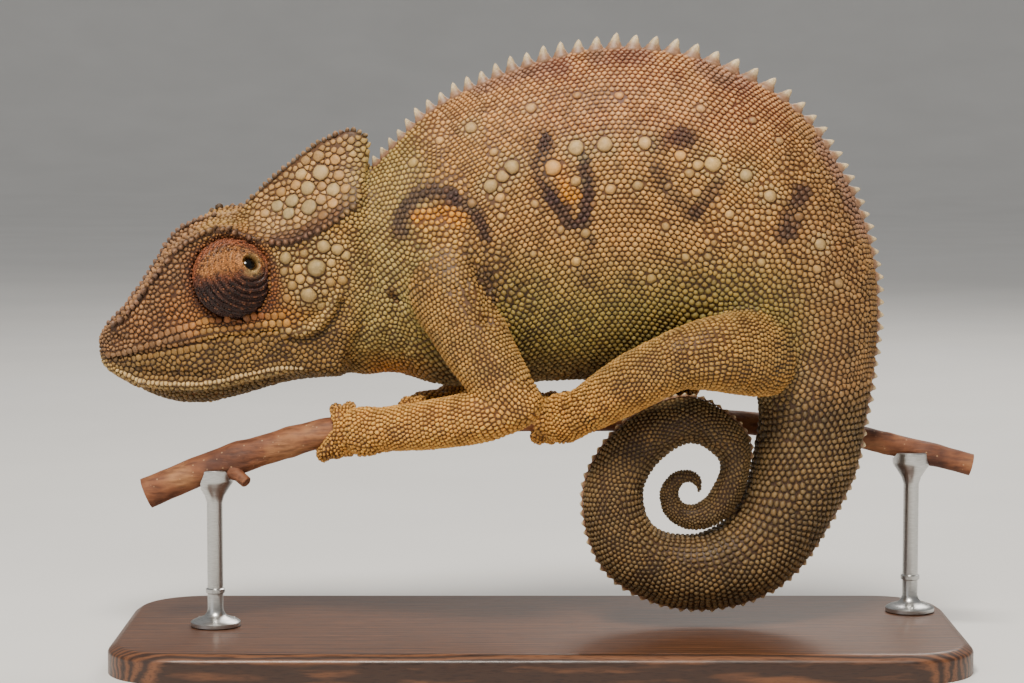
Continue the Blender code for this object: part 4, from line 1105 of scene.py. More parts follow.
@dataclass(frozen=True)
class WoodFinish:
    """Oiled dark wood, or the pale wood of a cut end, with rings and pores."""

    name: str
    dark: tuple
    light: tuple
    gloss: float = 0.34
    rings: float = 160.0
    stretch: tuple = (0.12, 1.0, 1.0)

    def make(self) -> bpy.types.Material:
        """Build the material."""
        nodes = Nodes(self.name)
        place = nodes.stretched(self.stretch)
        wave = nodes.add("ShaderNodeTexWave", {"Scale": self.rings, "Distortion": 7.0,
                                               "Detail": 3.0, "Detail Scale": 1.2,
                                               "Vector": place},
                         wave_type="BANDS", bands_direction="Y")
        dark, light = tuple(linear(*self.dark)), tuple(linear(*self.light))
        base = nodes.ramp(wave.outputs["Fac"], (0.1, dark), (0.9, light))
        pores = nodes.noise(2400.0, 2.0, place)
        pits = nodes.ramp(pores, (0.36, (0.55, 0.5, 0.46)), (0.48, 1.0))
        nodes.rough(pores, self.gloss, self.gloss + 0.22)
        nodes.bump(pores, 0.3, 0.0002)
        return nodes.finish(nodes.mix("MULTIPLY", base, pits, 0.8),
                            {"Coat Weight": 0.25, "Coat Roughness": 0.22})


@dataclass(frozen=True)
class SteelFinish:
    """Brushed stainless steel."""

    name: str = "brushed_steel"

    def make(self) -> bpy.types.Material:
        """Build the material."""
        nodes = Nodes(self.name)
        brush = nodes.noise(500.0, 3.0, nodes.stretched((1.0, 1.0, 14.0)))
        tone = nodes.ramp(brush, (0.3, (0.42, 0.42, 0.41)), (0.7, (0.60, 0.60, 0.59)))
        nodes.rough(brush, 0.22, 0.4)
        return nodes.finish(tone, {"Metallic": 1.0})


@dataclass(frozen=True)
class FloorFinish:
    """The plain pale floor."""

    name: str = "pale_floor"

    def make(self) -> bpy.types.Material:
        """Build the material."""
        nodes = Nodes(self.name)
        tone = nodes.ramp(nodes.noise(9.0), (0.3, (0.76, 0.75, 0.73)), (0.7, (0.80, 0.79, 0.77)))
        return nodes.finish(tone, {"Roughness": 0.8})


class Slot(Enum):
    """Material slots of the record."""

    SKIN = "skin"
    EYELID = "eyelid_skin"
    EYE = "eye"
    BARK = "bark"
    BASE = "base_wood"
    ROD = "rod_steel"


def settle(obj: bpy.types.Object, material: bpy.types.Material,
           nodes: tuple = ()) -> None:
    """Dress a finished piece, let it ride and hide the nodes it stands for.

    Args:
        obj: the piece.
        material: the finish.
        nodes: names of the solids that the piece replaces.
    """
    obj.data.materials.clear()
    obj.data.materials.append(material)
    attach(obj, "root")
    if nodes:
        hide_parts(*nodes)
    faces = sum(len(face.vertices) - 2 for face in obj.data.polygons)
    log.info("%s: %d triangles", obj.name, faces)


def object_from(bm: bmesh.types.BMesh, name: str) -> bpy.types.Object:
    """Turn a bmesh in millimetres into a piece in metres, its faces outwards."""
    bmesh.ops.recalc_face_normals(bm, faces=bm.faces)
    bmesh.ops.scale(bm, vec=(MM, MM, MM), verts=bm.verts)
    mesh = mesh_from(bm, name)
    mesh.shade_smooth()
    return link(name, mesh)


def turned(profile: Sequence, steps: int) -> bmesh.types.BMesh:
    """Spin a profile of (radius, height) round the Z axis into a closed form.

    Args:
        profile: points from the lowest to the highest, on the axis at both ends.
        steps: how many sides the form has.

    Returns:
        The closed form as a bmesh.
    """
    bm = bmesh.new()
    line = [bm.verts.new((radius, 0.0, height)) for radius, height in profile]
    edges = [bm.edges.new(pair) for pair in zip(line, line[1:])]
    bmesh.ops.spin(bm, geom=line + edges, cent=(0, 0, 0), axis=(0, 0, 1), angle=math.tau,
                   steps=steps, use_merge=True, use_duplicate=False)
    bmesh.ops.remove_doubles(bm, verts=bm.verts, dist=1e-5)
    bmesh.ops.recalc_face_normals(bm, faces=bm.faces)
    return bm


def copies(bm: bmesh.types.BMesh, placed: np.ndarray, name: str) -> bpy.types.Object:
    """Join many copies of one small form into one mesh.

    Args:
        bm: the small form, which is freed.
        placed: the points of each copy in millimetres, copies by points by three.
        name: the joined piece's name.

    Returns:
        The joined piece.
    """
    sizes = np.array([len(face.verts) for face in bm.faces])
    corners = np.array([vert.index for face in bm.faces for vert in face.verts])
    bm.free()
    count, points = placed.shape[:2]
    offsets = np.arange(count)[:, None] * points
    mesh = bpy.data.meshes.new(name)
    mesh.vertices.add(count * points)
    mesh.vertices.foreach_set("co", (placed * MM).astype(np.float32).ravel())
    mesh.loops.add(count * len(corners))
    mesh.loops.foreach_set("vertex_index", (corners[None, :] + offsets).astype(np.int32).ravel())
    starts = np.concatenate(([0], np.cumsum(np.tile(sizes, count))[:-1]))
    mesh.polygons.add(count * len(sizes))
    mesh.polygons.foreach_set("loop_start", starts.astype(np.int32))
    mesh.update(calc_edges=True)
    mesh.shade_smooth()
    return link(name, mesh)


def points_of(bm: bmesh.types.BMesh) -> np.ndarray:
    """Read a bmesh's points in order."""
    bm.verts.index_update()
    return np.array([vert.co for vert in bm.verts])


def speckle(count: int, seed: int) -> np.ndarray:
    """Random numbers from 0 to 1, the same in each run."""
    return np.random.default_rng(seed).random(count)


@dataclass
class EyeTurret:
    """One eye: the cone of lids with its ring folds, the pit behind its opening and the ball."""

    side: float
    label: str
    rim: float = 12.0              # degrees from the middle of the opening to its edge
    pit_gap: float = 0.15
    fold_pitch: float = 9.4        # degrees from one ring fold to the next
    fold_height: float = 0.021     # shares of the radius, as are the next
    low_fold_height: float = 0.034
    ring_lines: tuple = ((63.0, 0.034), (70.0, 0.030))    # degrees from the side, and depth
    first_grains: float = 13.6     # degrees, as is the next
    last_grains: float = 112.0
    lid_shade: float = 0.8         # how much darker the lids are than the grains on them
    tan: tuple = (192, 126, 66)
    # brown and maroon darken the lower turret, partly in its own colour and partly as painted shade.
    brown: tuple = (122, 66, 38)
    maroon: tuple = (42, 15, 9)
    yellow: tuple = (226, 192, 120)
    red: tuple = (160, 80, 50)
    line: tuple = (58, 28, 20)
    # between darkens the troughs of the ring folds as painted shade.
    between: tuple = (96, 50, 32)
    crest: tuple = (150, 92, 60)
    # The pit's near black is painted shade inside the opening.
    inside: tuple = (24, 14, 10)
    lit_grain: tuple = (160, 104, 66)
    pupil: tuple = (5, 4, 4)
    iris: tuple = (150, 100, 40)

    def pole(self) -> tuple:
        """The turret's matrix, the way out of its opening and the middle of its eyeball."""
        matrix = np.array(EYE.matrix(self.side))
        pole = matrix @ np.array((0, 0, 1.05, 1))
        outward = unit((pole - matrix @ np.array((0, 0, 0, 1)))[:3])
        return matrix, outward, pole[:3] - outward * (EYE.eyeball + 1.1)

    def from_side(self, points: np.ndarray) -> np.ndarray:
        """Degrees between straight out of the head and the way from the turret's middle."""
        turned_back = HEAD.level(points) - self.middle()
        return np.degrees(np.arccos(np.clip(unit(turned_back)[:, 1] * self.side, -1, 1)))

    def middle(self) -> np.ndarray:
        """The turret's middle on the level head."""
        return np.array(EYE.centre) * (1.0, self.side, 1.0)

    def fold_phase(self, polar: np.ndarray, turn: np.ndarray) -> np.ndarray:
        """Phase of the ring folds at each place of the lids."""
        return polar * math.tau / self.fold_pitch + 0.5 * np.sin(2 * turn + 0.7)

    def surface(self, polar: np.ndarray, turn: np.ndarray) -> np.ndarray:
        """Points on the lids by degrees from the middle of the opening and turn round it."""
        matrix, outward, middle = self.pole()
        lid = np.maximum(polar, self.rim)
        margin = 0.035 * np.exp(-((lid - 14.0) / 3.0) ** 2)
        tilt = np.radians(lid)
        ball = np.stack((np.sin(tilt) * np.cos(turn), np.sin(tilt) * np.sin(turn), np.cos(tilt),
                         np.ones_like(lid)), axis=1)
        smooth_lid = (ball @ matrix.T)[:, :3]
        low = fade((middle + outward)[2] - smooth_lid[:, 2], 1.5, 4.5)
        strength = fade(lid, 16.0, 24.0) * (1 - 0.5 * fade(lid, 84.0, 110.0))
        phase = self.fold_phase(lid, turn)
        wave = np.sin(phase) + 0.35 * np.sin(2 * phase + 0.8)
        fold = self.fold_height * (1 - low) + self.low_fold_height * low
        foot = self.from_side(smooth_lid)
        lines = sum(deep * np.exp(-((foot - place) / 1.8) ** 2) for place, deep in self.ring_lines)
        ball[:, :3] *= (1.0 + margin + fold * strength * wave - lines)[:, None]
        outer = (ball @ matrix.T)[:, :3]
        away = outer - middle
        away = unit(away - outward * (away @ outward)[:, None])
        edge = math.asin(EYE.opening / (EYE.eyeball + self.pit_gap))
        swing = edge + (math.pi - edge) * np.clip(1.0 - polar / self.rim, 0.0, 1.0)
        pit = middle + (EYE.eyeball + self.pit_gap) * (
            outward * np.cos(swing)[:, None] + away * np.sin(swing)[:, None])
        return np.where((polar < self.rim)[:, None], pit, outer)

    def tint(self, points: np.ndarray, polar: np.ndarray, turn: np.ndarray) -> np.ndarray:
        """Colour of the lids: tan above, dark maroon below, partly as painted shade, a streaked
        yellow ring, and a pit painted dark as shade.
        """
        centre = np.array(HEAD.turn() @ Vector(self.middle()))
        _, outward, middle = self.pole()
        drop = (points - middle)[:, 2] - 0.15 * (points - centre)[:, 0]
        ragged = drop + 0.9 * hash_noise(points, 1.6) + 0.5 * hash_noise(points, 0.8, 3.0)
        # Darker towards the bottom of the turret: partly its own brown and maroon, partly painted
        # shade.
        colour = blend(linear(*self.tan), self.brown, fade(ragged, 0.5, -2.4))
        colour = blend(colour, self.maroon, fade(ragged, -1.8, -4.4))
        foot = self.from_side(points)
        colour = blend(colour, self.red, 0.75 * fade(foot, 66.0, 76.0) * fade(ragged, -3.6, -1.0))
        lines = sum(np.exp(-((foot - place) / 1.9) ** 2) for place, _ in self.ring_lines)
        colour = blend(colour, self.line, lines * 0.8)
        shown = fade(polar, 18.0, 26.0)
        crest = fade(np.sin(self.fold_phase(polar, turn)), 0.35, 0.9)
        crest *= shown * fade(polar, 76.0, 70.0)
        # Painted shade in the troughs between the ring folds.
        colour = blend(colour, self.between, (1 - crest) * 0.22 * shown)
        pale = crest * fade(ragged, -1.0, -3.4) * fade(hash_noise(points, 0.9, 6.0), -0.5, 0.5)
        colour = blend(colour, self.crest, 0.45 * pale)
        below = fade((middle + outward)[2] - points[:, 2], 0.0, 2.2)
        streak = 0.72 + 0.28 * np.sin(turn * 24 + 2.0 * hash_noise(points, 0.7, 5.0))
        ring = np.exp(-(np.maximum(polar - 12.7, 0.0) / (0.7 + 5.4 * below)) ** 2)
        colour = blend(colour, self.yellow, ring * streak * (0.6 + 0.4 * below))
        # The pit inside the opening is painted near black as shade.
        return blend(colour, self.inside, fade(polar, self.rim + 0.5, self.rim - 1.5))

    def lids(self) -> bpy.types.Object:
        """The cone of lids, closed all round."""
        obj = wrapped_grid(self.surface, 150, 72, 0.0, 180.0, math.tau, f"lids_{self.label}")
        points = coordinates(obj.data)
        matrix, _, _ = self.pole()
        local = np.c_[points, np.ones(len(points))] @ np.linalg.inv(matrix).T
        polar = np.degrees(np.arccos(np.clip(local[:, 2] / np.linalg.norm(local[:, :3], axis=1),
                                             -1, 1)))
        turn = np.arctan2(local[:, 1], local[:, 0])
        paint(obj.data, self.tint(points, polar, turn) * self.lid_shade)
        obj.data.shade_smooth()
        return obj

    def grains(self) -> bpy.types.Object:
        """The fine granules of the lids, ring by ring, smallest beside the opening."""
        polars, turns, sizes = [], [], []
        polar, row = self.first_grains, 0
        while polar < self.last_grains:
            pitch = 0.52 + 0.24 * min((polar - self.first_grains) / 50.0, 1.0)
            round_length = math.tau * EYE.radius * math.sin(math.radians(polar))
            count = max(int(round_length / pitch), 8)
            for k in range(count):
                polars.append(polar)
                turns.append(math.tau * (k + 0.5 * (row % 2)) / count)
                sizes.append(pitch)
            polar += math.degrees(pitch * 0.86 / EYE.radius)
            row += 1
        polars, turns, sizes = np.array(polars), np.array(turns), np.array(sizes)
        seed = 11 if self.side < 0 else 12
        polars += (speckle(len(polars), seed) - 0.5) * 1.4
        turns += (speckle(len(turns), seed + 9) - 0.5) * 0.03
        points = self.surface(polars, turns)
        ahead = unit(self.surface(polars + 0.4, turns) - points)
        round_way = unit(self.surface(polars, turns + 0.02) - points)
        out = np.cross(ahead, round_way)
        from_back = points - self.surface(np.full(1, 180.0), np.zeros(1))
        out *= np.sign(np.sum(out * from_back, axis=1))[:, None]
        dome = turned(((0, -0.25), (1.0, -0.25), (0.85, 0.35), (0.45, 0.62), (0, 0.72)), 6)
        form = points_of(dome)
        vary = 0.8 + 0.4 * speckle(len(points), seed + 3)
        half = (sizes * 0.5 * vary)[:, None, None]
        placed = points[:, None, :] + half * (
            form[None, :, 0:1] * ahead[:, None, :] * 0.92
            + form[None, :, 1:2] * round_way[:, None, :]
            + form[None, :, 2:3] * out[:, None, :] * 0.85)
        obj = copies(dome, placed, f"lid_grains_{self.label}")
        colour = self.tint(points, polars, turns)
        colour *= (0.68 + 0.66 * speckle(len(points), seed + 5))[:, None]
        dots = (speckle(len(points), seed + 7) < 0.27)[:, None]
        lit = (speckle(len(points), seed + 8) < 0.10)[:, None] & (colour[:, :1] < 0.08)
        colour = np.where(dots, colour * 0.34, colour)
        colour = np.where(lit, colour + 0.5 * linear(*self.lit_grain), colour)
        # Painted shade and highlight: each grain is darker at its foot and lighter at its top.
        shade = np.interp(form[:, 2], (-0.25, 0.3, 0.7), (0.4, 0.85, 1.1))
        paint(obj.data, (colour[:, None, :] * shade[None, :, None]).reshape(-1, 3))
        from_middle = polars / 240.0
        patch = np.stack((0.5 + from_middle * np.cos(turns), 0.5 + from_middle * np.sin(turns)),
                         axis=1)
        lay_patches(obj.data, patch, form)
        return obj

    def ball(self) -> bpy.types.Object:
        """The eyeball with its dark pupil and thin golden iris."""
        _, outward, middle = self.pole()
        bm = bmesh.new()
        bmesh.ops.create_uvsphere(bm, u_segments=40, v_segments=28, radius=EYE.eyeball)
        bmesh.ops.translate(bm, vec=tuple(middle), verts=bm.verts)
        obj = object_from(bm, f"eye_{self.label}")
        points = coordinates(obj.data)
        angle = np.degrees(np.arccos(np.clip(unit(points - middle) @ outward, -1, 1)))
        iris = fade(angle, 34.0, 37.0) * fade(angle, 46.0, 42.0)
        paint(obj.data, blend(linear(*self.pupil), self.iris, iris))
        return obj

    def build(self) -> None:
        """Make and dress the eye."""
        skin = SkinFinish(f"lid_skin_{self.label}", speckle=0.3, low_rough=0.38,
                          high_rough=0.6).make()
        settle(self.lids(), skin, (f"eye_turret_{self.label}",))
        settle(self.grains(), skin)
        settle(self.ball(), EyeFinish(f"wet_eye_{self.label}").make(),
               (f"eyeball_{self.label}",))


def lay_patches(mesh: bpy.types.Mesh, roots: np.ndarray, form: np.ndarray,
                across: float = 0.003) -> None:
    """Give each small form a patch of its own on the skin's unwrap.

    Args:
        mesh: the joined mesh of copies of one form.
        roots: where each copy's root lies on the unwrap, from 0 to 1.
        form: the small form's own points, about one across.
        across: the width of a patch.
    """
    layer = mesh.uv_layers.new(name="OFBake")
    spot = form[:, :2] / max(np.abs(form[:, :2]).max(), 1e-9) * (across / 2)
    spread = (roots[:, None, :] + spot[None, :, :]).reshape(-1, 2)
    corner = np.empty(len(mesh.loops), dtype=np.int32)
    mesh.loops.foreach_get("vertex_index", corner)
    layer.data.foreach_set("uv", np.clip(spread[corner], 0.0, 1.0).astype(np.float32).ravel())


@dataclass
class DorsalCrest:
    """The row of ivory spines along the back, which goes on as low teeth along the tail."""

    # Place on the body, spacing and height.
    rows: tuple = ((0.0, 3.2, 2.3), (1.3, 3.7, 2.9), (2.6, 4.2, 3.5), (4.5, 5.0, 3.9),
                   (7.4, 5.3, 3.8), (8.3, 4.0, 3.1), (9.5, 3.6, 2.6), (11.0, 3.5, 2.0),
                   (12.5, 3.3, 1.5), (15.0, 3.0, 1.15), (20.0, 2.6, 0.8))
    first: float = 0.2
    last: float = 21.5
    lean: float = 0.2
    ivory: tuple = (218, 195, 152)
    root: tuple = (150, 112, 84)
    profile: tuple = ((0.0, -0.3), (1.12, -0.3), (1.08, 0.0), (0.95, 0.14), (0.82, 0.2),
                      (0.72, 0.36), (0.58, 0.42), (0.48, 0.6), (0.28, 0.84), (0.0, 1.0))
    places: np.ndarray = field(default_factory=lambda: np.zeros(0))

    def spread(self) -> None:
        """Work out the spines' places at the spacing that each stretch has."""
        marks = np.linspace(self.first, self.last, 600)
        tops = BODY.surface(marks, 1.0)
        run = run_along(tops)
        reach, places = 1.6, []
        while reach < run[-1]:
            place = float(np.interp(reach, run, marks))
            places.append(place)
            reach += float(smooth(self.rows, place)[0, 0])
        self.places = np.array(places)

    def build(self) -> None:
        """Make and dress the spines."""
        self.spread()
        places = self.places
        spacing, height = smooth(self.rows, places).T
        count = len(places)
        height = height * (0.9 + 0.22 * speckle(count, 21))
        edge = BODY.surface(places, 1.0)
        onward = unit(BODY.surface(places + 0.04, 1.0) - BODY.surface(places - 0.04, 1.0))
        centre = BODY.frames(places)[0]
        out = edge - centre
        out = unit(out - onward * np.sum(out * onward, axis=1, keepdims=True))
        side = np.cross(out, onward)
        form = turned(self.profile, 12)
        flat = points_of(form)
        wide = (spacing * 0.46)[:, None, None]
        thin = (spacing * 0.27)[:, None, None]
        tall = height[:, None, None]
        bend = self.lean * np.clip(flat[:, 2], 0, 1) ** 1.4
        twist = (speckle(count, 22) - 0.5)[:, None, None] * 0.5
        placed = (edge[:, None, :] - out[:, None, :] * 0.25
                  + onward[:, None, :] * (flat[None, :, 0:1] * wide + bend[None, :, None] * tall)
                  + side[:, None, :] * (flat[None, :, 1:2] * thin + twist * flat[None, :, 2:3])
                  + out[:, None, :] * (flat[None, :, 2:3] * tall))
        obj = copies(form, placed, "dorsal_spines")
        colour = blend(linear(*self.root), self.ivory, fade(flat[:, 2], 0.22, 0.74))[None]
        colour = colour * (0.86 + 0.2 * speckle(count, 23))[:, None, None]
        paint(obj.data, colour.reshape(-1, 3))
        patch = np.stack((0.02 + 0.96 * np.arange(count) / count, np.full(count, 0.5)), axis=1)
        lay_patches(obj.data, patch, flat)
        settle(obj, HornFinish("ivory_spine").make())


@dataclass
class Claws:
    """The curved claws at the tips of the toes."""

    length: float = 3.4
    root_radius: float = 0.85
    bend: float = 62.0             # degrees from root to tip
    root: tuple = (196, 160, 112)
    tip: tuple = (70, 48, 34)

    def build(self) -> None:
        """Make and dress the claws as one piece."""
        whole = bmesh.new()
        shares_all = []
        for toe in TOES:
            middle, _, out, along = toe.middle(BRANCH, np.array((0.9, 1.0)))
            onward = unit(middle[1] - middle[0])
            root = middle[1] - onward * 0.5 + out[1] * 0.25
            inwards, across = -out[1], along[1]

            def claw(shares: np.ndarray, angles: np.ndarray) -> np.ndarray:
                """Read this claw's surface."""
                bend = shares * math.radians(self.bend)
                reach = self.length / math.radians(self.bend)
                line = (root + onward * (np.sin(bend) * reach)[:, None]
                        + inwards * ((1 - np.cos(bend)) * reach * 0.55)[:, None])
                size = self.root_radius * (1 - shares) ** 0.7 + 0.05
                return ring_points(line, inwards, across, size, angles, size * 0.6)
            mesh = wrapped_grid(claw, 10, 9, 0.0, 1.0, math.tau, "claw").data
            shares_all.append(np.clip((coordinates(mesh) - root) @ onward / self.length, 0, 1))
            add_to(whole, mesh)
        obj = link("claws", mesh_from(whole, "claws"))
        obj.data.shade_smooth()
        share = fade(np.concatenate(shares_all), 0.15, 0.8)
        paint(obj.data, blend(linear(*self.root), self.tip, share))
        settle(obj, HornFinish("claw_horn", gloss=0.28).make())


@dataclass
class Perch:
    """The cut length of branch, with leaf scars, two trimmed twigs and sawn ends."""

    # x, share of the radius and width of each swelling.
    scars: tuple = ((-84.0, 0.10, 3.0), (112.0, 0.08, 3.0), (-70.0, 0.05, 1.6), (66.0, 0.09, 1.8),
                    (-20.0, 0.04, 1.5), (100.0, 0.05, 1.4))
    # x, angle round the branch, radius and length of each trimmed twig.
    stubs: tuple = ((-86.0, 2.2, 1.7, 4.6), (83.0, 1.1, 1.4, 4.0))
    first: float = BRANCH.rows[0][0]
    last: float = BRANCH.rows[-1][0]

    def surface(self, x: np.ndarray, angle: np.ndarray) -> np.ndarray:
        """Points on the bark by x and by angle round the branch."""
        within = np.clip(x, self.first + 0.5, self.last - 0.5)
        centre, radius, along, side, down = BRANCH.frames(within)
        centre = centre + along * (x - within)[:, None]
        swell = np.ones_like(x)
        for place, height, width in self.scars:
            swell += height * np.exp(-((x - place) / width) ** 2)
        flat = np.stack((x * 0.3, 4.0 * np.cos(angle), 4.0 * np.sin(angle)), axis=1)
        uneven = 1.0 + 0.03 * np.sin(3 * angle + 0.21 * x) + 0.022 * hash_noise(flat, 1.1, 5.0)
        uneven += 0.02 * hash_noise(np.stack((x, flat[:, 1], flat[:, 2]), axis=1), 3.0, 6.0)
        return ring_points(centre, side, down, radius * swell * uneven, angle)

    def stub(self, x: float, angle: float, radius: float, length: float) -> bmesh.types.BMesh:
        """A trimmed twig that leans along the branch."""
        form = turned(((0, -1.2), (radius * 1.5, -1.2), (radius * 1.25, 0.4), (radius, 1.4),
                       (radius * 0.96, length - 0.3), (radius * 0.8, length),
                       (0, length - 0.15)), 18)
        root = self.surface(np.array((x,)), np.array((angle,)))[0]
        centre, _, along, _, _ = BRANCH.frames(x)
        out = unit(unit(root - centre[0]) + along[0] * 0.55)
        turn = Vector((0, 0, 1)).rotation_difference(Vector(out)).to_matrix().to_4x4()
        bmesh.ops.transform(form, matrix=Matrix.Translation(Vector(root)) @ turn, verts=form.verts)
        return form

    def build(self) -> None:
        """Make and dress the branch."""
        bm = bmesh.new()
        add_to(bm, wrapped_grid(self.surface, 420, 56, self.first, self.last, math.tau,
                                "perch_bark").data)
        bmesh.ops.scale(bm, vec=(1 / MM,) * 3, verts=bm.verts)
        caps = [face for face in bm.faces if len(face.verts) > 8]
        for cap in caps:
            cap.material_index = 1
        ring = bmesh.ops.inset_region(bm, faces=caps, thickness=0.45, depth=0.12)
        for face in ring["faces"]:
            face.material_index = 0
        for stub in self.stubs:
            add_to(bm, mesh_from(self.stub(*stub), "stub"))
        obj = object_from(bm, "perch_bark")
        obj.data.set_sharp_from_angle(angle=math.radians(50))
        settle(obj, BarkFinish().make(), ("perch",))
        cut = WoodFinish("cut_branch", (176, 132, 84), (214, 178, 126), gloss=0.6, rings=700.0,
                         stretch=(1.0, 1.0, 1.0))
        obj.data.materials.append(cut.make())


@dataclass
class Stand:
    """The display stand: a wooden base with a moulded edge and two turned steel rods."""

    length: float = 236.0
    width: float = 94.0
    thickness: float = 8.0
    corner: float = 20.0
    rods: tuple = (("left", -91.0), ("right", 107.0))
    rod_radius: float = 2.2
    flange: float = 7.0
    cup: float = 5.4
    gap: float = 0.3
    screws_each: int = 3
    screw_circle: float = 5.3
    screw: tuple = ((0, 0), (0.75, 0), (0.75, 0.2), (0.55, 0.42), (0.22, 0.5), (0.2, 0.3), (0, 0.3))

    def base(self) -> bpy.types.Object:
        """The base: rounded corners and a cove along the upper edge."""
        bm = bmesh.new()
        bmesh.ops.create_cube(bm, size=1.0)
        bmesh.ops.scale(bm, vec=(self.length, self.width, self.thickness), verts=bm.verts)
        bmesh.ops.translate(bm, vec=(0, 0, self.thickness / 2), verts=bm.verts)
        upright = [e for e in bm.edges if abs(e.verts[0].co.z - e.verts[1].co.z) > 1.0]
        bmesh.ops.bevel(bm, geom=upright, offset=self.corner, segments=16, profile=0.5,
                        affect="EDGES", material=-1)
        top = [face for face in bm.faces if face.normal.z > 0.9]
        bmesh.ops.inset_region(bm, faces=top, thickness=2.6, depth=0.0)
        on_top = {vert for face in top for vert in face.verts}
        rim = [v for v in bm.verts if abs(v.co.z - self.thickness) < 1e-4 and v not in on_top]
        bmesh.ops.translate(bm, vec=(0, 0, -1.7), verts=rim)
        edges = [e for e in bm.edges if len(e.link_faces) == 2
                 and e.calc_face_angle(0.0) > 0.35 and e.verts[0].co.z > 1.0
                 and e.verts[1].co.z > 1.0
                 and abs(e.verts[0].co.z - e.verts[1].co.z) < 0.1]
        bmesh.ops.bevel(bm, geom=edges, offset=0.7, segments=3, profile=0.5, affect="EDGES",
                        material=-1)
        obj = object_from(bm, "stand_base_wood")
        obj.data.set_sharp_from_angle(angle=math.radians(30))
        return obj

    def rod(self, label: str, x: float) -> bpy.types.Object:
        """A turned rod from its flange up to the cup that cradles the branch."""
        centre, radius, _, _, _ = BRANCH.frames(x)
        cx, cy, cz = centre[0]
        floor, top = self.thickness + self.gap, float(cz - 0.2 * radius[0])
        thin = self.rod_radius
        profile = ((0, floor), (self.flange, floor), (self.flange, floor + 1.0),
                   (self.flange - 0.3, floor + 1.3), (self.flange - 1.6, floor + 1.9),
                   (thin + 1.2, floor + 2.5), (thin + 0.35, floor + 3.5), (thin, floor + 4.6),
                   (thin, floor + 9.0), (thin + 0.5, floor + 9.3), (thin + 0.5, floor + 10.3),
                   (thin, floor + 10.6), (thin, top - 9.4), (thin + 0.6, top - 7.4),
                   (self.cup - 1.2, top - 5.2), (self.cup - 0.2, top - 3.8), (self.cup, top - 3.0),
                   (self.cup, top - 0.3), (self.cup - 0.3, top), (0, top))
        form = turned(profile, 48)
        bmesh.ops.translate(form, vec=(cx, cy, 0), verts=form.verts)
        obj = object_from(form, f"stand_rod_steel_{label}")
        carve(obj, [wrapped_grid(self.branch_room, 60, 40, x - 12.0, x + 12.0, math.tau, "room")])
        obj.data.shade_smooth()
        obj.data.set_sharp_from_angle(angle=math.radians(35))
        return obj

    def branch_room(self, x: np.ndarray, angle: np.ndarray) -> np.ndarray:
        """The branch's own room in a cup."""
        centre, radius, _, side, down = BRANCH.frames(x)
        return ring_points(centre, side, down, radius * 1.06 + self.gap, angle)

    def screws(self) -> bpy.types.Object:
        """Small pan-head screws in the flanges."""
        whole = bmesh.new()
        for _, x in self.rods:
            centre = BRANCH.frames(x)[0][0]
            for k in range(self.screws_each):
                turn = math.tau * (k + 0.25) / self.screws_each
                form = turned(self.screw, 14)
                where = (centre[0] + self.screw_circle * math.cos(turn),
                         centre[1] + self.screw_circle * math.sin(turn),
                         self.thickness + self.gap + 1.45)
                bmesh.ops.translate(form, vec=where, verts=form.verts)
                add_to(whole, mesh_from(form, "screw"))
        return object_from(whole, "stand_screws")

    def build(self) -> None:
        """Make and dress the stand."""
        wood = WoodFinish("oiled_wood", (54, 32, 20), (112, 70, 42))
        settle(self.base(), wood.make(), ("stand_base",))
        steel = SteelFinish().make()
        for label, x in self.rods:
            settle(self.rod(label, x), steel, (f"stand_rod_{label}",))
        settle(self.screws(), steel)


@dataclass(frozen=True)
class Studio:
    """The pale floor, soft lights and the camera at the photograph's viewing angle."""

    lens: float = 100.0
    sensor: float = 36.0
    wall: float = 5.0              # metres, as is the next
    bend: float = 2.0
    # Name, place and size in metres, power in watts and colour.
    lamps: tuple = (("key", (-0.12, -0.62, 0.98), 0.30, 17.5, (1.0, 0.94, 0.84)),
                    ("fill", (-0.9, -0.7, 0.3), 0.8, 1.6, (0.95, 0.97, 1.0)),
                    ("back", (0.3, 0.8, 0.85), 0.6, 7.0, (1.0, 0.95, 0.88)))
    sky: float = 0.42
    sky_grey: float = 0.82

    def lamp(self, name: str, place: tuple, size: float, energy: float, colour: tuple) -> None:
        """A soft square lamp, in metres, that faces the animal."""
        data = bpy.data.lights.new(name, "AREA")
        data.shape = "SQUARE"
        data.size = size
        data.energy = energy
        data.color = colour
        lamp = link(name, data)
        lamp.location = place
        aim = Vector(VIEW.target) * MM - Vector(place)
        lamp.rotation_euler = aim.to_track_quat("-Z", "Y").to_euler()

    def backdrop(self) -> None:
        """The floor, which bends up into a low round wall far from the animal."""
        profile = [(0.0, 0.0)]
        for turn in np.linspace(0.0, math.pi / 2, 13):
            profile.append(((self.wall - self.bend * (1 - math.sin(turn))) / MM,
                            self.bend * (1 - math.cos(turn)) / MM))
        floor = object_from(turned(profile, 64), "backdrop")
        floor.data.materials.append(FloorFinish().make())

    def build(self) -> None:
        """Set up floor, lamps, world and camera."""
        self.backdrop()
        for lamp in self.lamps:
            self.lamp(*lamp)
        world = bpy.data.worlds.new("studio")
        world.use_nodes = True
        sky = world.node_tree.nodes["Background"]
        sky.inputs["Color"].default_value = (*(self.sky_grey,) * 3, 1.0)
        sky.inputs["Strength"].default_value = self.sky
        bpy.context.scene.world = world
        data = bpy.data.cameras.new("camera")
        data.lens = self.lens
        data.sensor_width = self.sensor
        data.clip_start = 0.01
        camera = link("camera", data)
        camera.location = Vector(VIEW.eye()) * MM
        camera.rotation_euler = (math.radians(90.0 - VIEW.elevation), 0.0, 0.0)
        bpy.context.scene.camera = camera


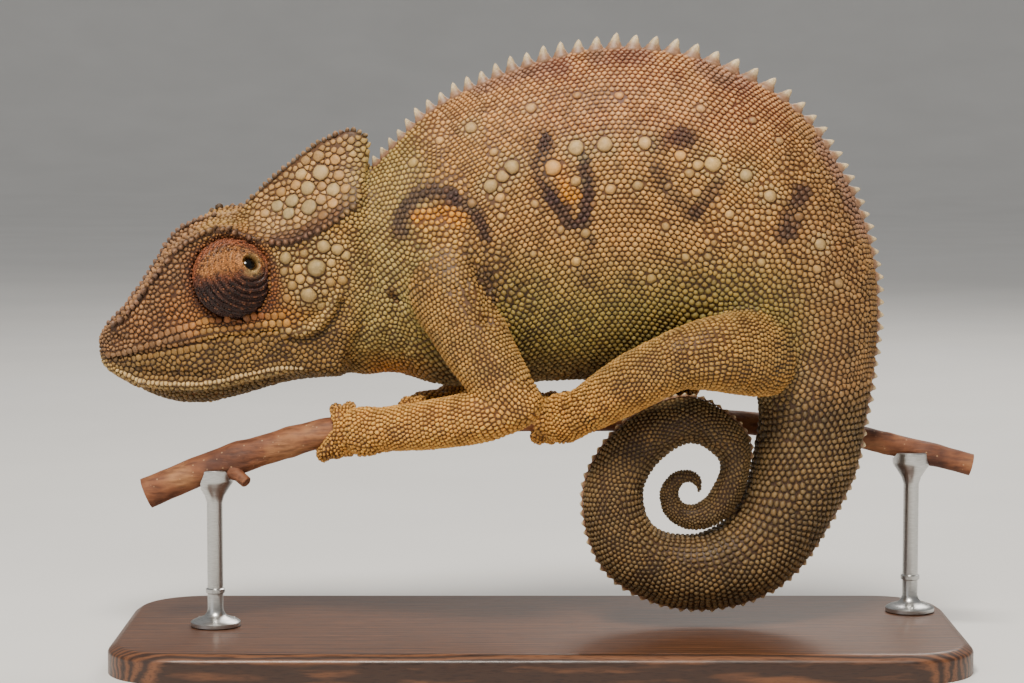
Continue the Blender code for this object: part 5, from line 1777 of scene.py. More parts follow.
class Region(Enum):
    """Stretches of the coat, each in meshes of its own."""

    HEAD = "head"
    NECK = "neck"
    FLANK_LEFT = "flank_left"
    FLANK_RIGHT = "flank_right"
    REAR = "rear"
    TAIL = "tail"
    COIL = "coil"
    ARMS = "arms"
    LEGS = "legs"


REGIONS = list(Region)
SLENDER = (Region.TAIL, Region.COIL, Region.ARMS, Region.LEGS)
LIMBS = (Region.ARMS, Region.LEGS)
FLANKS = (Region.FLANK_LEFT, Region.FLANK_RIGHT)


def among(region: np.ndarray, names: Sequence[Region]) -> np.ndarray:
    """Tell which of the region numbers are those of the named regions."""
    return np.isin(region, [REGIONS.index(name) for name in names])


@dataclass(frozen=True)
class Mark:
    """A stroke of colour along a line of (x, z) as seen from the side."""

    line: tuple
    width: float
    colour: tuple
    strength: float = 1.0
    ragged: float = 0.9

    def share(self, points: np.ndarray) -> np.ndarray:
        """How far each point takes this mark's colour."""
        near = distance_to_line(VIEW.seen(points), self.line)
        near += self.ragged * hash_noise(points, 2.6, 4.0) + 0.5 * hash_noise(points, 1.2, 4.5)
        return self.strength * fade(near, self.width * 1.4, self.width * 0.5)


DARK = (70, 50, 46)
PLUM = (146, 112, 98)
# Painted shade in skin creases.
CREASE_SHADE = (84, 62, 46)
FLANK_MARKS = (
    Mark(((-39.0, 118.6), (-37.8, 124.8), (-35.1, 128.1), (-29.9, 129.9), (-24.8, 129.0)),
         2.5, DARK, 0.85),
    Mark(((-24.8, 129.0), (-20.2, 125.7), (-16.9, 122.0), (-15.3, 117.4)), 2.2, DARK, 0.9),
    Mark(((-33.2, 122.4), (-28.0, 123.6), (-22.5, 121.1)), 2.7, (214, 152, 90), 0.9),
    Mark(((-32.0, 118.0), (-24.0, 117.0)), 3.4, (204, 160, 104), 0.6),
    Mark(((1.2, 144.3), (1.9, 140.6), (-0.8, 136.6), (0.6, 132.6), (3.5, 127.6)), 2.1, DARK, 0.95),
    Mark(((3.5, 127.6), (5.3, 124.9), (8.6, 121.0), (12.0, 121.6)), 2.5, DARK, 0.9),
    Mark(((11.8, 139.4), (12.8, 134.1), (13.2, 128.1), (12.8, 123.4), (11.0, 120.4)),
         1.9, DARK, 0.95),
    Mark(((14.2, 116.4), (13.7, 112.8)), 1.7, DARK, 0.6),
    Mark(((12.0, 109.0), (13.0, 104.0)), 1.7, DARK, 0.35),
    Mark(((5.3, 136.0), (8.6, 129.4)), 2.6, (214, 148, 84), 0.9),
    Mark(((38.6, 145.0), (41.2, 144.2)), 3.3, DARK, 0.85),
    Mark(((32.2, 142.7), (35.0, 143.6)), 2.2, (100, 70, 56), 0.6),
    Mark(((33.5, 136.0), (35.0, 131.4), (37.6, 127.6), (43.6, 123.6)), 2.3, DARK, 0.55),
    Mark(((43.8, 124.0), (46.5, 128.0), (50.4, 133.2)), 2.1, DARK, 0.65),
    Mark(((73.6, 129.4), (72.2, 126.6)), 2.7, DARK, 0.85),
    Mark(((70.4, 121.8), (68.6, 118.2)), 3.1, DARK, 0.85),
    Mark(((-18.0, 160.0), (-4.0, 163.5), (6.0, 165.0)), 3.2, PLUM, 0.75),
    Mark(((16.0, 168.0), (29.0, 168.0)), 3.0, PLUM, 0.7),
    Mark(((45.0, 165.0), (57.0, 160.0)), 3.0, PLUM, 0.7),
    Mark(((79.0, 143.0), (86.0, 133.0), (91.0, 120.0)), 3.2, PLUM, 0.7),
    # The next six strokes darken the neck crease and the creases behind and round the armpit:
    # painted shade in those creases.
    Mark(((-42.0, 102.0), (-40.0, 99.0)), 1.2, (92, 62, 44), 0.8),
    Mark(((-17.0, 107.0), (-14.0, 101.0), (-13.0, 94.0)), 2.6, (90, 68, 52), 0.75),
    Mark(((-15.5, 97.0), (-19.0, 108.0), (-21.0, 113.0)), 1.0, CREASE_SHADE, 0.55),
    Mark(((-15.0, 97.0), (-14.5, 108.0), (-16.0, 117.0)), 1.0, CREASE_SHADE, 0.55),
    Mark(((-14.0, 97.0), (-10.0, 107.0), (-9.0, 112.0)), 1.0, CREASE_SHADE, 0.5),
    Mark(((-13.0, 96.0), (-6.0, 103.0), (-3.0, 105.0)), 1.0, CREASE_SHADE, 0.45),
    Mark(((-44.0, 92.0), (-38.0, 84.0)), 2.4, (110, 92, 66), 0.45),
)
CREAM = (198, 174, 120)
AMBER = (230, 172, 102)
STRAW = (224, 190, 122)
# Large pale tubercles of the flank: x and z as seen, radius and colour.
FLANK_TUBERCLES = (
    (3.7, 136.4, 2.5, AMBER), (10.0, 132.7, 1.6, CREAM), (10.0, 142.0, 2.4, CREAM),
    (18.1, 142.9, 2.3, CREAM), (-7.9, 136.6, 2.4, CREAM), (-10.4, 134.1, 1.9, CREAM),
    (-13.9, 131.3, 2.1, CREAM), (-11.2, 128.0, 1.5, CREAM), (-19.3, 147.6, 1.9, CREAM),
    (-2.5, 153.1, 1.7, CREAM), (10.4, 156.6, 1.4, CREAM), (22.1, 156.6, 1.4, CREAM),
    (-13.0, 140.6, 1.3, CREAM), (19.7, 130.4, 1.6, CREAM), (-19.0, 126.4, 1.4, CREAM),
    (-10.9, 122.7, 1.3, CREAM), (-1.6, 126.2, 1.3, CREAM), (12.8, 118.1, 1.5, CREAM),
    (5.6, 118.8, 1.3, CREAM), (10.0, 110.2, 1.5, CREAM), (-35.5, 137.8, 1.6, CREAM),
    (29.3, 143.3, 2.0, CREAM), (27.4, 131.4, 1.6, CREAM), (39.3, 139.8, 1.7, AMBER),
    (48.3, 137.5, 2.4, STRAW), (44.2, 137.2, 1.7, STRAW), (41.8, 134.8, 1.4, STRAW),
    (57.6, 134.3, 2.0, CREAM), (64.3, 128.5, 1.9, CREAM), (72.4, 122.8, 1.5, AMBER),
    (78.4, 115.0, 1.9, CREAM), (59.5, 149.7, 1.4, CREAM), (66.9, 143.9, 1.4, CREAM),
    (45.0, 152.9, 1.4, CREAM), (53.1, 123.4, 1.4, CREAM), (40.9, 111.2, 1.3, CREAM),
    (47.3, 111.2, 1.3, CREAM), (62.0, 109.9, 1.3, CREAM), (83.6, 104.1, 1.5, CREAM),
    (77.5, 108.0, 1.4, CREAM), (35.1, 120.2, 1.3, CREAM), (43.8, 129.5, 1.4, CREAM),
    (35.4, 131.1, 1.3, CREAM), (31.2, 105.4, 1.4, CREAM), (-2.0, 112.0, 1.2, CREAM),
    (-28.0, 144.0, 1.4, CREAM), (57.3, 113.8, 1.2, CREAM),
)
CHEEK = (190, 166, 114)
JAW_TOP = 92.0             # beads below this height belong to the jaw
# Large scales of the cheek and of the casque: x and z as seen, and radius.
CHEEK_TUBERCLES = (
    (-62.5, 108.5, 3.0), (-64.7, 100.8, 2.5), (-60.6, 114.4, 2.0), (-56.7, 113.5, 1.8),
    (-54.4, 111.8, 1.5), (-71.2, 111.2, 1.9), (-67.9, 108.2, 1.5), (-67.1, 105.3, 1.5),
    (-64.1, 104.7, 1.3), (-69.4, 103.5, 1.5), (-55.3, 105.0, 1.5), (-61.2, 97.9, 1.5),
    (-58.4, 109.8, 1.4), (-71.4, 107.4, 1.3), (-58.6, 104.4, 1.4), (-66.0, 112.4, 1.4),
    (-70.8, 100.0, 1.4), (-60.6, 101.4, 1.3),
)
CASQUE_PLATES = (
    (-61.5, 135.1, 2.65), (-65.0, 130.7, 2.2), (-57.9, 130.3, 2.1), (-69.4, 127.1, 2.2),
    (-64.7, 125.3, 2.4), (-73.5, 125.6, 1.9), (-70.3, 123.6, 1.9), (-56.4, 134.2, 1.7),
    (-61.2, 127.4, 1.7), (-66.8, 134.6, 1.8), (-62.0, 139.6, 1.7), (-57.4, 138.6, 1.6),
    (-68.4, 131.4, 1.6), (-58.0, 126.4, 1.6), (-61.0, 131.2, 1.5), (-77.0, 123.6, 1.5),
    (-54.6, 130.6, 1.5), (-65.6, 138.4, 1.5), (-72.4, 129.6, 1.6), (-60.6, 122.9, 1.5),
)


class Markings:
    """The animal's colours, with painted shade in creases and on the underside, worked out anywhere
    on it from named zones and marks.
    """

    back = (206, 158, 118)
    flank = (190, 148, 102)
    # low, belly and tail are darker partly in their own olive and brown tone and partly as painted
    # shade of the underside and the tail.
    low = (138, 123, 76)
    belly = (140, 120, 90)
    neck = (176, 153, 104)
    rear = (152, 117, 84)
    tail = (120, 98, 70)
    arm = (172, 136, 90)
    foot = (218, 166, 108)
    snout = (150, 116, 88)
    cheek = (180, 144, 96)
    # jaw and throat are darker partly in their own tone and partly as painted shade under the head.
    jaw = (144, 114, 76)
    throat = (100, 80, 52)
    casque = (180, 144, 104)
    orange = (178, 110, 60)
    eye_ring = (116, 62, 44)
    # Painted shadow in the crease just above the jaw's edge.
    jaw_shadow = (92, 70, 50)
    ridge = (214, 184, 134)
    corner = (206, 178, 128)
    # hollow is painted shade in the crease beside the mouth-corner ridge.
    hollow = (92, 76, 50)
    brow = (172, 134, 104)
    rear_line = (98, 66, 54)
    rim = (140, 104, 82)
    between = (116, 76, 50)
    red = (160, 72, 46)
    # Place (x, z) on the level head, reach and strength of each patch of orange.
    glows = (((-101.0, 99.5), 7.0, 0.30), ((-70.0, 101.0), 5.0, 0.5), ((-94.0, 97.0), 5.0, 0.24),
             ((-112.0, 93.0), 5.0, 0.2))
    saturation = 1.30
    brightness = 0.92
    # The skin between the scales is darker and redder in its own colour, and is darkened further
    # here as painted shade in the grooves.
    groove_shade = np.array((0.34, 0.28, 0.25))    # how dark the lines between the scales are

    def body(self, points: np.ndarray) -> np.ndarray:
        """Colours of trunk, neck and tail."""
        x, z = points[:, 0], points[:, 2]
        wander = 4.0 * hash_noise(points, 14.0, 1.0)
        colour = np.tile(linear(*self.flank), (len(points), 1))
        colour = blend(colour, self.back, fade(z + wander, 134.0, 158.0))
        # The darker lower flank, belly and tail are partly their own tone and partly painted shade.
        colour = blend(colour, self.low, fade(z + wander, 122.0, 96.0) * 0.9)
        colour = blend(colour, self.belly, fade(z, 90.0, 78.0) * 0.8)
        colour = blend(colour, self.rear, fade(x + wander, 58.0, 84.0) * 0.85)
        colour = blend(colour, self.neck, fade(x + wander, -26.0, -40.0) * 0.85)
        in_tail = fade(z, 78.0, 66.0) * fade(x, 0.0, 12.0)
        colour = blend(colour, self.tail, in_tail)
        cx, cz = BODY.coil_centre
        band = np.sin(np.arctan2(cz - z, x - cx) * 7.0 + 0.6 * hash_noise(points, 9.0, 7.0))
        colour *= 1 - 0.2 * (in_tail * fade(band, 0.1, 0.9))[:, None]
        for mark in FLANK_MARKS:
            share = mark.share(points) * np.where(z > 100.0, 1.0, 0.0)
            colour = blend(colour, mark.colour, share)
        chest = np.exp(-(((x + 42.0) / 9.0) ** 2 + ((z - 80.0) / 4.5) ** 2))
        return blend(colour, self.orange, chest * 0.7)

    def head(self, points: np.ndarray) -> np.ndarray:
        """Colours of the head, worked out as if it were level."""
        seen = HEAD.level(points)
        x, z = seen[:, 0], seen[:, 2]
        level = smooth(HEAD.rows, np.clip(x, HEAD.rows[0][0], HEAD.rows[-1][0])).T
        mouth, crest_z, _, roof, _, _, jaw_edge, _ = level
        colour = np.tile(linear(*self.cheek), (len(points), 1))
        colour = blend(colour, self.snout, fade(x, -90.0, -98.0))
        # The darker jaw and throat are partly their own tone and partly painted shade under the
        # head.
        colour = blend(colour, self.jaw, fade(z - mouth, 1.0, -2.0))
        colour = blend(colour, self.throat, fade(z - mouth, -9.0, -16.0) * 0.9)
        # Painted shadow in the crease just above the jaw's edge.
        jaw_shadow = np.exp(-(((z - jaw_edge - 3.4) / 1.3) ** 2)) * fade(x, -88.0, -100.0)
        colour = blend(colour, self.jaw_shadow, jaw_shadow * 0.6)
        ridge = np.exp(-(((z - jaw_edge - 0.2) / 1.3) ** 2)) * fade(x, -66.0, -74.0)
        colour = blend(colour, self.ridge, ridge * 0.6)
        beside = seen[:, (0, 2)]
        corner = distance_to_line(beside, MOUTH_CORNER)
        colour = blend(colour, self.corner, fade(corner, 1.7, 0.7) * 0.6)
        # Painted shade in the crease beside the mouth-corner ridge.
        hollow = distance_to_line(beside - CORNER_HOLLOW, MOUTH_CORNER)
        colour = blend(colour, self.hollow, fade(hollow, 1.5, 0.5) * 0.5)
        high = fade(z - crest_z, 0.0, 2.0) * fade(x, -84.0, -78.0)
        colour = blend(colour, self.casque, high)
        brow = fade(z - crest_z, -1.0, 1.0) * fade(x, -80.0, -88.0)
        colour = blend(colour, self.brow, brow * 0.8)
        for place, reach, strength in self.glows:
            near = np.hypot(x - place[0], z - place[1]) + hash_noise(points, 2.2, 8.0)
            colour = blend(colour, self.orange, strength * np.exp(-((near / reach) ** 2)))
        from_eye = np.hypot(x - EYE.centre[0], z - EYE.centre[2])
        ring = np.exp(-(((from_eye - 11.6) / 2.6) ** 2)) * (np.abs(seen[:, 1]) > 7.0)
        colour = blend(colour, self.eye_ring, ring * 0.8)
        rear_line = fade(np.abs(z - crest_z), 2.2, 0.9) * fade(x, -77.0, -73.0)
        colour = blend(colour, self.rear_line, rear_line * 0.8)
        rim = fade(roof - z, 2.4, 0.8) * fade(x, -86.0, -82.0)
        return blend(colour, self.rim, rim * 0.65)

    def limbs(self, points: np.ndarray) -> np.ndarray:
        """Colours of arms, legs and feet."""
        colour = np.tile(linear(*self.arm), (len(points), 1))
        low = fade(points[:, 2], 84.0, 68.0)
        return blend(colour, self.foot, low)

    def colour(self, points: np.ndarray, region: np.ndarray) -> np.ndarray:
        """Colours of scales at points, by the region that each belongs to.

        Args:
            points: places in millimetres.
            region: number of each place's region.

        Returns:
            Linear colours, one line each.
        """
        colour = self.body(points)
        head = fade(points[:, 0], -46.5, -56.0) * among(region, (Region.HEAD, Region.NECK))
        colour = colour * (1 - head[:, None]) + self.head(points) * head[:, None]
        joined = fade(np.abs(points[:, 1]), 14.0, 21.0)
        low = fade(points[:, 2], 92.0, 80.0)
        share = among(region, LIMBS) * np.maximum(joined, low)
        colour = colour * (1 - share[:, None]) + self.limbs(points) * share[:, None]
        dapple = 1 + 0.10 * hash_noise(points, 6.0, 9.0) + 0.08 * hash_noise(points, 2.5, 10.0)
        colour = colour * dapple[:, None]
        grey = colour.mean(axis=1, keepdims=True)
        return np.maximum(grey + self.saturation * (colour - grey), 0.004) * self.brightness

    def red_lines(self, points: np.ndarray) -> np.ndarray:
        """How red the lines between the scales are, strongest along the upper back."""
        red = fade(points[:, 2], 138.0, 150.0) * fade(points[:, 0], -8.0, 8.0)
        red *= fade(points[:, 0], 82.0, 66.0)
        return red * fade(hash_noise(points, 7.0, 12.0), -0.7, 0.3)

    def groove(self, points: np.ndarray, region: np.ndarray) -> np.ndarray:
        """Colours of the skin between the scales: the scales' own, darker and redder, then darkened
        further as painted shade in the grooves.
        """
        colour = self.colour(points, region)
        colour = blend(colour, self.between, np.full(len(points), 0.5))
        return blend(colour, self.red, self.red_lines(points) * 0.5) * self.groove_shade


MARKINGS = Markings()


@dataclass
class Sites:
    """Places where scales grow: reach, direction ahead, region, place on the unwrap and kind."""

    points: np.ndarray
    reach: np.ndarray
    ahead: np.ndarray
    region: np.ndarray
    unwrap: np.ndarray
    kind: np.ndarray

    @staticmethod
    def joined(parts: list) -> "Sites":
        """Put several sets of sites in one, in order."""
        return Sites(*(np.concatenate([getattr(part, item.name) for part in parts])
                       for item in fields(Sites)))

    def pick(self, chosen: np.ndarray) -> "Sites":
        """Keep the chosen sites."""
        return Sites(*(getattr(self, item.name)[chosen] for item in fields(self)))

    def of_kind(self, *kinds: "Kind") -> np.ndarray:
        """Tell which of the sites are of these kinds."""
        return np.isin(self.kind, [KINDS.index(kind) for kind in kinds])


class Kind(Enum):
    """Forms of scale: shares of the reach and of the height for shoulder and upper ring."""

    GRANULE = (0.90, 0.48, 0.56, 0.87, 0.66)
    CONE = (0.84, 0.38, 0.42, 0.80, 0.84)
    PLATE = (0.93, 0.58, 0.70, 0.88, 0.34)
    TUBERCLE = (0.86, 0.44, 0.52, 0.83, 0.56)
    BEAD = (0.88, 0.42, 0.46, 0.84, 1.10)
    LABIAL = (0.93, 0.54, 0.66, 0.89, 0.52)


KINDS = list(Kind)


def sites(points: np.ndarray, reach: Values, ahead: np.ndarray, region: Region,
          unwrap: np.ndarray, kind: Kind = Kind.GRANULE) -> Sites:
    """Make a set of sites of one kind in one region."""
    count = len(points)
    return Sites(points, np.broadcast_to(np.asarray(reach, dtype=float), (count,)).copy(),
                 unit(np.broadcast_to(ahead, points.shape).copy()),
                 np.full(count, REGIONS.index(region)), unwrap,
                 np.full(count, KINDS.index(kind)))


def whorl(surface: Surface, place: float, round_once: float, steps: int, pitch: float,
          ring: int, least: int, ahead: float) -> tuple:
    """Evenly spaced places on one ring across a limb or the tail.

    Args:
        surface: gives points for places along and turns round.
        place: where the ring lies.
        round_once: the turn at which the ring meets itself.
        steps: how many points the ring is measured with.
        pitch: distance from one place to the next.
        ring: number of the ring. Each second ring is shifted by half a pitch.
        least: the least number of places.
        ahead: how much further along the direction ahead is taken.

    Returns:
        The points, the way ahead from each and its turn.
    """
    turns = np.linspace(0.0, round_once, steps)
    run = run_along(surface(np.full(steps, place), turns))
    count = max(int(run[-1] / pitch), least)
    wanted = run[-1] * (np.arange(count) + 0.5 * (ring % 2)) / count
    turn = np.interp(wanted, run, turns)
    points = surface(np.full(count, place), turn)
    return points, surface(np.full(count, place + ahead), turn) - points, turn


@dataclass
class ScaleCoat:
    """The coat of scales over the skin, packed edge to edge like the real ones."""

    skin: Skin
    crest: np.ndarray              # places of the spines along the body
    head_pitch: float = 1.5
    groove: float = 0.01
    row_groove: float = 0.08
    root: float = 0.30
    sides: int = 7
    slender_sides: int = 6
    fine_sides: int = 12
    scattered: int = 60000         # candidates for the small scales of the head
    head_ahead: tuple = (1.0, 0.0, 0.1)
    round_toe: int = 11            # scales in a ring round a toe
    large: float = 1.3             # reach from which a scale is made finer
    shoulder_level: float = 0.35   # names of two rings of a scale's form, by their height in it
    upper_level: float = 0.7
    most: int = 180000             # triangles of one joined mesh
    seed: int = 7
    tail_from: float = 11.9        # place on the body where the tail's rings begin
    coil_from: float = 18.5        # place where they become a mesh of their own
    ring_share: float = 0.84       # distance between rings as a share of the pitch in them
    furthest: float = 2.4          # how far off the skin a site may be, in the open or below it
    deepest: float = 1.6
    off_branch: float = 0.75       # room left round the branch and round the eyes
    off_eye: float = 0.35
    cell: float = 2.4              # of the grid in which near sites are looked for
    filler: float = 0.85           # the greatest reach of a scale that fills a gap
    lines: tuple = (150, 62, 38)
    pale_plate: tuple = (188, 172, 122)
    jaw_bead: tuple = (218, 184, 130)
    plum: tuple = (88, 64, 58)
    # First and last place on the body, distance between rows and pitch in a row.
    stretches: tuple = ((0.0, 1.6, 1.08, 1.25), (1.6, 2.9, 1.18, 1.42), (2.9, 7.0, 1.3, 1.7),
                        (7.0, 9.4, 1.24, 1.5), (9.4, 12.0, 1.24, 1.45))
    # Mark on the head's outline, first and last x, pitch, reach, kind and whether on both sides.
    head_rows: tuple = (
        (14.0, -120.0, -76.5, 2.0, 1.12, Kind.BEAD), (14.0, -74.8, -51.5, 1.95, 1.05, Kind.BEAD),
        (19.0, -84.0, -51.5, 1.75, 0.95, Kind.BEAD, False),
        (19.0, -122.0, -91.0, 1.9, 1.05, Kind.BEAD, False),
        (16.6, -119.0, -86.0, 2.0, 1.08, Kind.CONE), (13.0, -119.0, -92.0, 1.9, 1.0, Kind.CONE),
        (8.0, -122.0, -67.0, 2.0, 1.05, Kind.LABIAL), (9.1, -121.0, -69.0, 2.0, 1.05, Kind.LABIAL),
        (6.0, -121.5, -67.0, 1.85, 0.98, Kind.LABIAL), (5.2, -121.0, -66.0, 1.9, 0.98, Kind.LABIAL),
        (3.1, -119.0, -63.0, 1.32, 0.72, Kind.BEAD), (2.45, -119.0, -68.0, 1.32, 0.70, Kind.BEAD),
        (0.05, -118.0, -80.0, 2.1, 0.9, Kind.BEAD, False))

    def body_rows(self, first: float, last: float, row: float, pitch: float) -> list:
        """Rows that run lengthwise, side by side from the back down to the belly."""
        stations = np.linspace(first, last, int((last - first) * 18) + 2)
        turns = np.linspace(1.0, 0.0, 61)
        reaches = 0.7 + row * np.arange(90)
        found = np.empty((len(stations), len(reaches)))
        for i, station in enumerate(stations):
            run = run_along(BODY.surface(np.full(61, station), turns))
            found[i] = np.interp(reaches, run, turns, right=-1.0)
        parts = []
        for k in range(len(reaches)):
            inside = found[:, k] > 0.004
            if inside.sum() < 3:
                continue
            marks, around = stations[inside], found[inside, k]
            run = run_along(BODY.surface(marks, around), 12.0)
            wanted = np.arange(0.3 + pitch * 0.5 * (k % 2), run[-1], pitch)
            if len(wanted) == 0:
                continue
            place = np.interp(wanted, run, marks)
            turn = np.interp(wanted, run, around)
            for flank, seen in zip(FLANKS, (turn, 2.0 - turn)):
                points = BODY.surface(place, seen)
                ahead = BODY.surface(place + 0.03, seen) - points
                region = Region.NECK if last < 3.0 else Region.REAR if first > 6.9 else flank
                unwrap = np.stack(((place - first) / (last - first), seen / 2.0), axis=1)
                parts.append(sites(points, 0.52 * math.sqrt(pitch * row), ahead, region, unwrap))
        return parts

    def tail_rings(self) -> list:
        """Whorls across the tail, smaller and smaller to its tip."""
        parts = []
        first, split, last = self.tail_from, self.coil_from, BODY.last()
        place, ring = first, 0
        while place < last - 0.02:
            beside = np.array((place, place + 0.02))
            pitch = float(np.clip(0.62 + 0.088 * BODY.frames(beside)[2][0] / 2, 0.72, 1.85))
            points, ahead, turn = whorl(BODY.surface, place, 2.0, 121, pitch, ring, 5, 0.03)
            region = Region.TAIL if place < split else Region.COIL
            low, high = (first, split) if place < split else (split, last)
            share = np.full(len(turn), (place - low) / (high - low))
            unwrap = np.stack((share, turn / 2.0), axis=1)
            parts.append(sites(points, pitch * 0.5, ahead, region, unwrap))
            outer, inner = (np.linalg.norm(np.diff(BODY.surface(beside, turn), axis=0)) / 0.02
                            for turn in (1.0, 0.001))
            place += pitch * self.ring_share / (0.6 * outer + 0.4 * inner)
            ring += 1
        return parts

    def limb_rings(self) -> list:
        """Whorls round the limbs, palms and toes."""
        parts = []
        for side, limbs in enumerate((LEFT_LIMBS, RIGHT_LIMBS)):
            for tile, (name, limb) in enumerate(limbs.items()):
                region = Region.ARMS if name in ("upper_arm", "forearm", "hand") else Region.LEGS
                last = len(limb.rows) - 1.0
                place, ring = -0.7, 0
                while place < last + 0.75:
                    points, ahead, angle = whorl(limb.surface, place, math.tau, 61, limb.pitch,
                                                 ring, 4, 0.02)
                    share = (place + 0.7) / (last + 1.45)
                    unwrap = np.stack((np.full(len(angle), (share + tile % 3) / 3.0),
                                       (angle / math.tau + side) / 2.0), axis=1)
                    parts.append(sites(points, limb.pitch * 0.5, ahead, region, unwrap))
                    both = limb.surface(np.array((place, place + 0.02)), 0.0)
                    speed = max(float(np.linalg.norm(np.diff(both, axis=0))) / 0.02, 4.0)
                    place += limb.pitch * self.ring_share / speed
                    ring += 1
        for number, toe in enumerate(TOES):
            region = Region.ARMS if number < len(TOES) / 2 else Region.LEGS
            for ring, share in enumerate(np.arange(0.02, 1.0, 0.068)):
                count = self.round_toe
                angle = (np.arange(count) + 0.5 * (ring % 2)) * math.tau / count
                points = toe.surface(BRANCH, np.full(count, share), angle)
                ahead = toe.surface(BRANCH, np.full(count, share + 0.02), angle) - points
                unwrap = np.stack((np.full(count, 0.9 + share * 0.09),
                                   (angle / math.tau + number) / len(TOES)), axis=1)
                parts.append(sites(points, 0.52, ahead, region, unwrap))
        return parts

    def head_row(self, mark: float, first: float, last: float, pitch: float, reach: float,
                 kind: Kind, both: bool = True) -> list:
        """One row of special scales along a line of the head's outline."""
        fine = np.linspace(first, last, 80)
        run = run_along(HEAD.surface(fine, np.full(80, mark)))
        x = np.interp(np.arange(pitch * 0.4, run[-1], pitch), run, fine)
        marks = np.full(len(x), mark)
        vary = reach * (0.88 + 0.24 * speckle(len(x), int(mark * 10) + 40))
        return [sites(HEAD.surface(x, marks, side), vary, self.head_ahead, Region.HEAD,
                      self.head_unwrap(x, marks, side), kind)
                for side in ((-1, 1) if both else (-1,))]

    @staticmethod
    def head_unwrap(x: np.ndarray, marks: np.ndarray, side: Values) -> np.ndarray:
        """Place on the head's unwrap by x, mark on the outline and side."""
        return np.stack(((x - HEAD_START) / HEAD_LENGTH,
                         0.5 + side * (CROWN_MARK + 0.5 - marks) / 40), axis=1)

    def head_specials(self) -> list:
        """Beads of brow, casque and jaw, lip scales and the cones of the snout."""
        return [part for row in self.head_rows for part in self.head_row(*row)]

    def head_scatter(self) -> list:
        """Candidates for the small scales of the head, spread at random."""
        count = self.scattered
        x = HEAD_START + 73.0 * speckle(count, 51) ** 0.92
        mark = CROWN_MARK * speckle(count, 52)
        side = np.where(speckle(count, 53) < 0.5, -1.0, 1.0)
        points = HEAD.surface(x, mark, side)
        flat = (mark > 14.2) & (x > -81.0)
        level = HEAD.level(points)
        from_eye = np.hypot(x - EYE.centre[0], level[:, 2] - EYE.centre[2])
        pitch = np.where(flat, 1.85 + 0.5 * hash_noise(points, 5.0, 2.0), self.head_pitch)
        for where, own in (((from_eye < 15.5) & ~flat, 1.25), ((from_eye < 13.6) & ~flat, 0.95),
                           ((mark < 12) & (x > -62.0), 1.35), ((mark < 7) & (x > -80.0), 1.35),
                           (x < -117.0, 1.25), (mark < 2.6, 1.4)):
            pitch = np.where(where, own, pitch)
        join = fade(x, -59.0, -51.5) * ~flat
        pitch = pitch * (1 - join) + 1.2 * join
        scattered = sites(points, pitch * 0.5, self.head_ahead, Region.HEAD,
                          self.head_unwrap(x, mark, side))
        scattered.kind[(x < -88.0) & (mark > 9.5)] = KINDS.index(Kind.CONE)
        scattered.kind[flat] = KINDS.index(Kind.PLATE)
        return [scattered]

    def spotted(self, table: tuple, regions: tuple, kind: Kind) -> list:
        """Large scales at places given as they are seen, cast onto both sides of the skin.

        Args:
            table: x and z on the picture plane and radius of each scale.
            regions: region of the left and of the right side.
            kind: form of the scales.

        Returns:
            The sites of the left side and those of the right.
        """
        parts = []
        for side, region in zip((-1, 1), regions):
            points, rows = [], []
            for row, (x, z, *_) in enumerate(table):
                shift = 0.0 if side < 0 else 0.7 * math.sin(5.0 * row)
                hit = self.skin.seen_at(x + shift, z - 0.5 * shift, side)
                if hit is not None and abs(hit.y) > 2.0:
                    points.append(hit)
                    rows.append(row)
            points = np.array(points)
            reach = np.array([table[row][2] for row in rows])
            parts.append(sites(points, reach, X_AXIS, region, self.side_unwrap(points, region),
                               kind))
        return parts

    @staticmethod
    def side_unwrap(points: np.ndarray, region: Region) -> np.ndarray:
        """Place on the unwrap of a large scale: along and up the side it grows on."""
        if region is Region.HEAD:
            up = np.clip((points[:, 2] - 70.0) / 160.0, 0.02, 0.48)
            around = np.where(points[:, 1] < 0, up, 1 - up)
            along = np.clip((points[:, 0] - HEAD_START) / HEAD_LENGTH, 0.02, 0.98)
            return np.stack((along, around), axis=1)
        flat = np.stack(((points[:, 0] + 50) / 150.0, (points[:, 2] - 70.0) / 110.0), axis=1)
        return np.clip(flat, 0.02, 0.98)

    @staticmethod
    def beside_branch(x: np.ndarray) -> tuple:
        """The branch's frames at each x, or at its nearer end."""
        return BRANCH.frames(np.clip(x, BRANCH.rows[0][0] + 1.0, BRANCH.rows[-1][0] - 1.0))

    def settle_on_skin(self, found: Sites) -> Sites:
        """Drop sites that other flesh covers or that the branch or an eye leaves no room for."""
        places, outs = self.skin.nearest(found.points)
        away = np.sum((found.points - places) * outs, axis=1)
        length = np.linalg.norm(found.points - places, axis=1)
        keep = (length < self.furthest) & (away > -self.deepest)
        centre, radius, along, _, _ = self.beside_branch(places[:, 0])
        for _ in range(2):
            nearer = centre[:, 0] + np.sum((places - centre) * along, axis=1)
            centre, radius, along, _, _ = self.beside_branch(nearer)
        keep &= np.linalg.norm(places - centre, axis=1) > radius + self.off_branch
        for side in (-1, 1):
            inverse = np.linalg.inv(np.array(EYE.matrix(side, self.off_eye)))
            local = np.c_[places, np.ones(len(places))] @ inverse.T
            keep &= np.linalg.norm(local[:, :3], axis=1) > 1.0
        found.points = places
        return found.pick(keep)

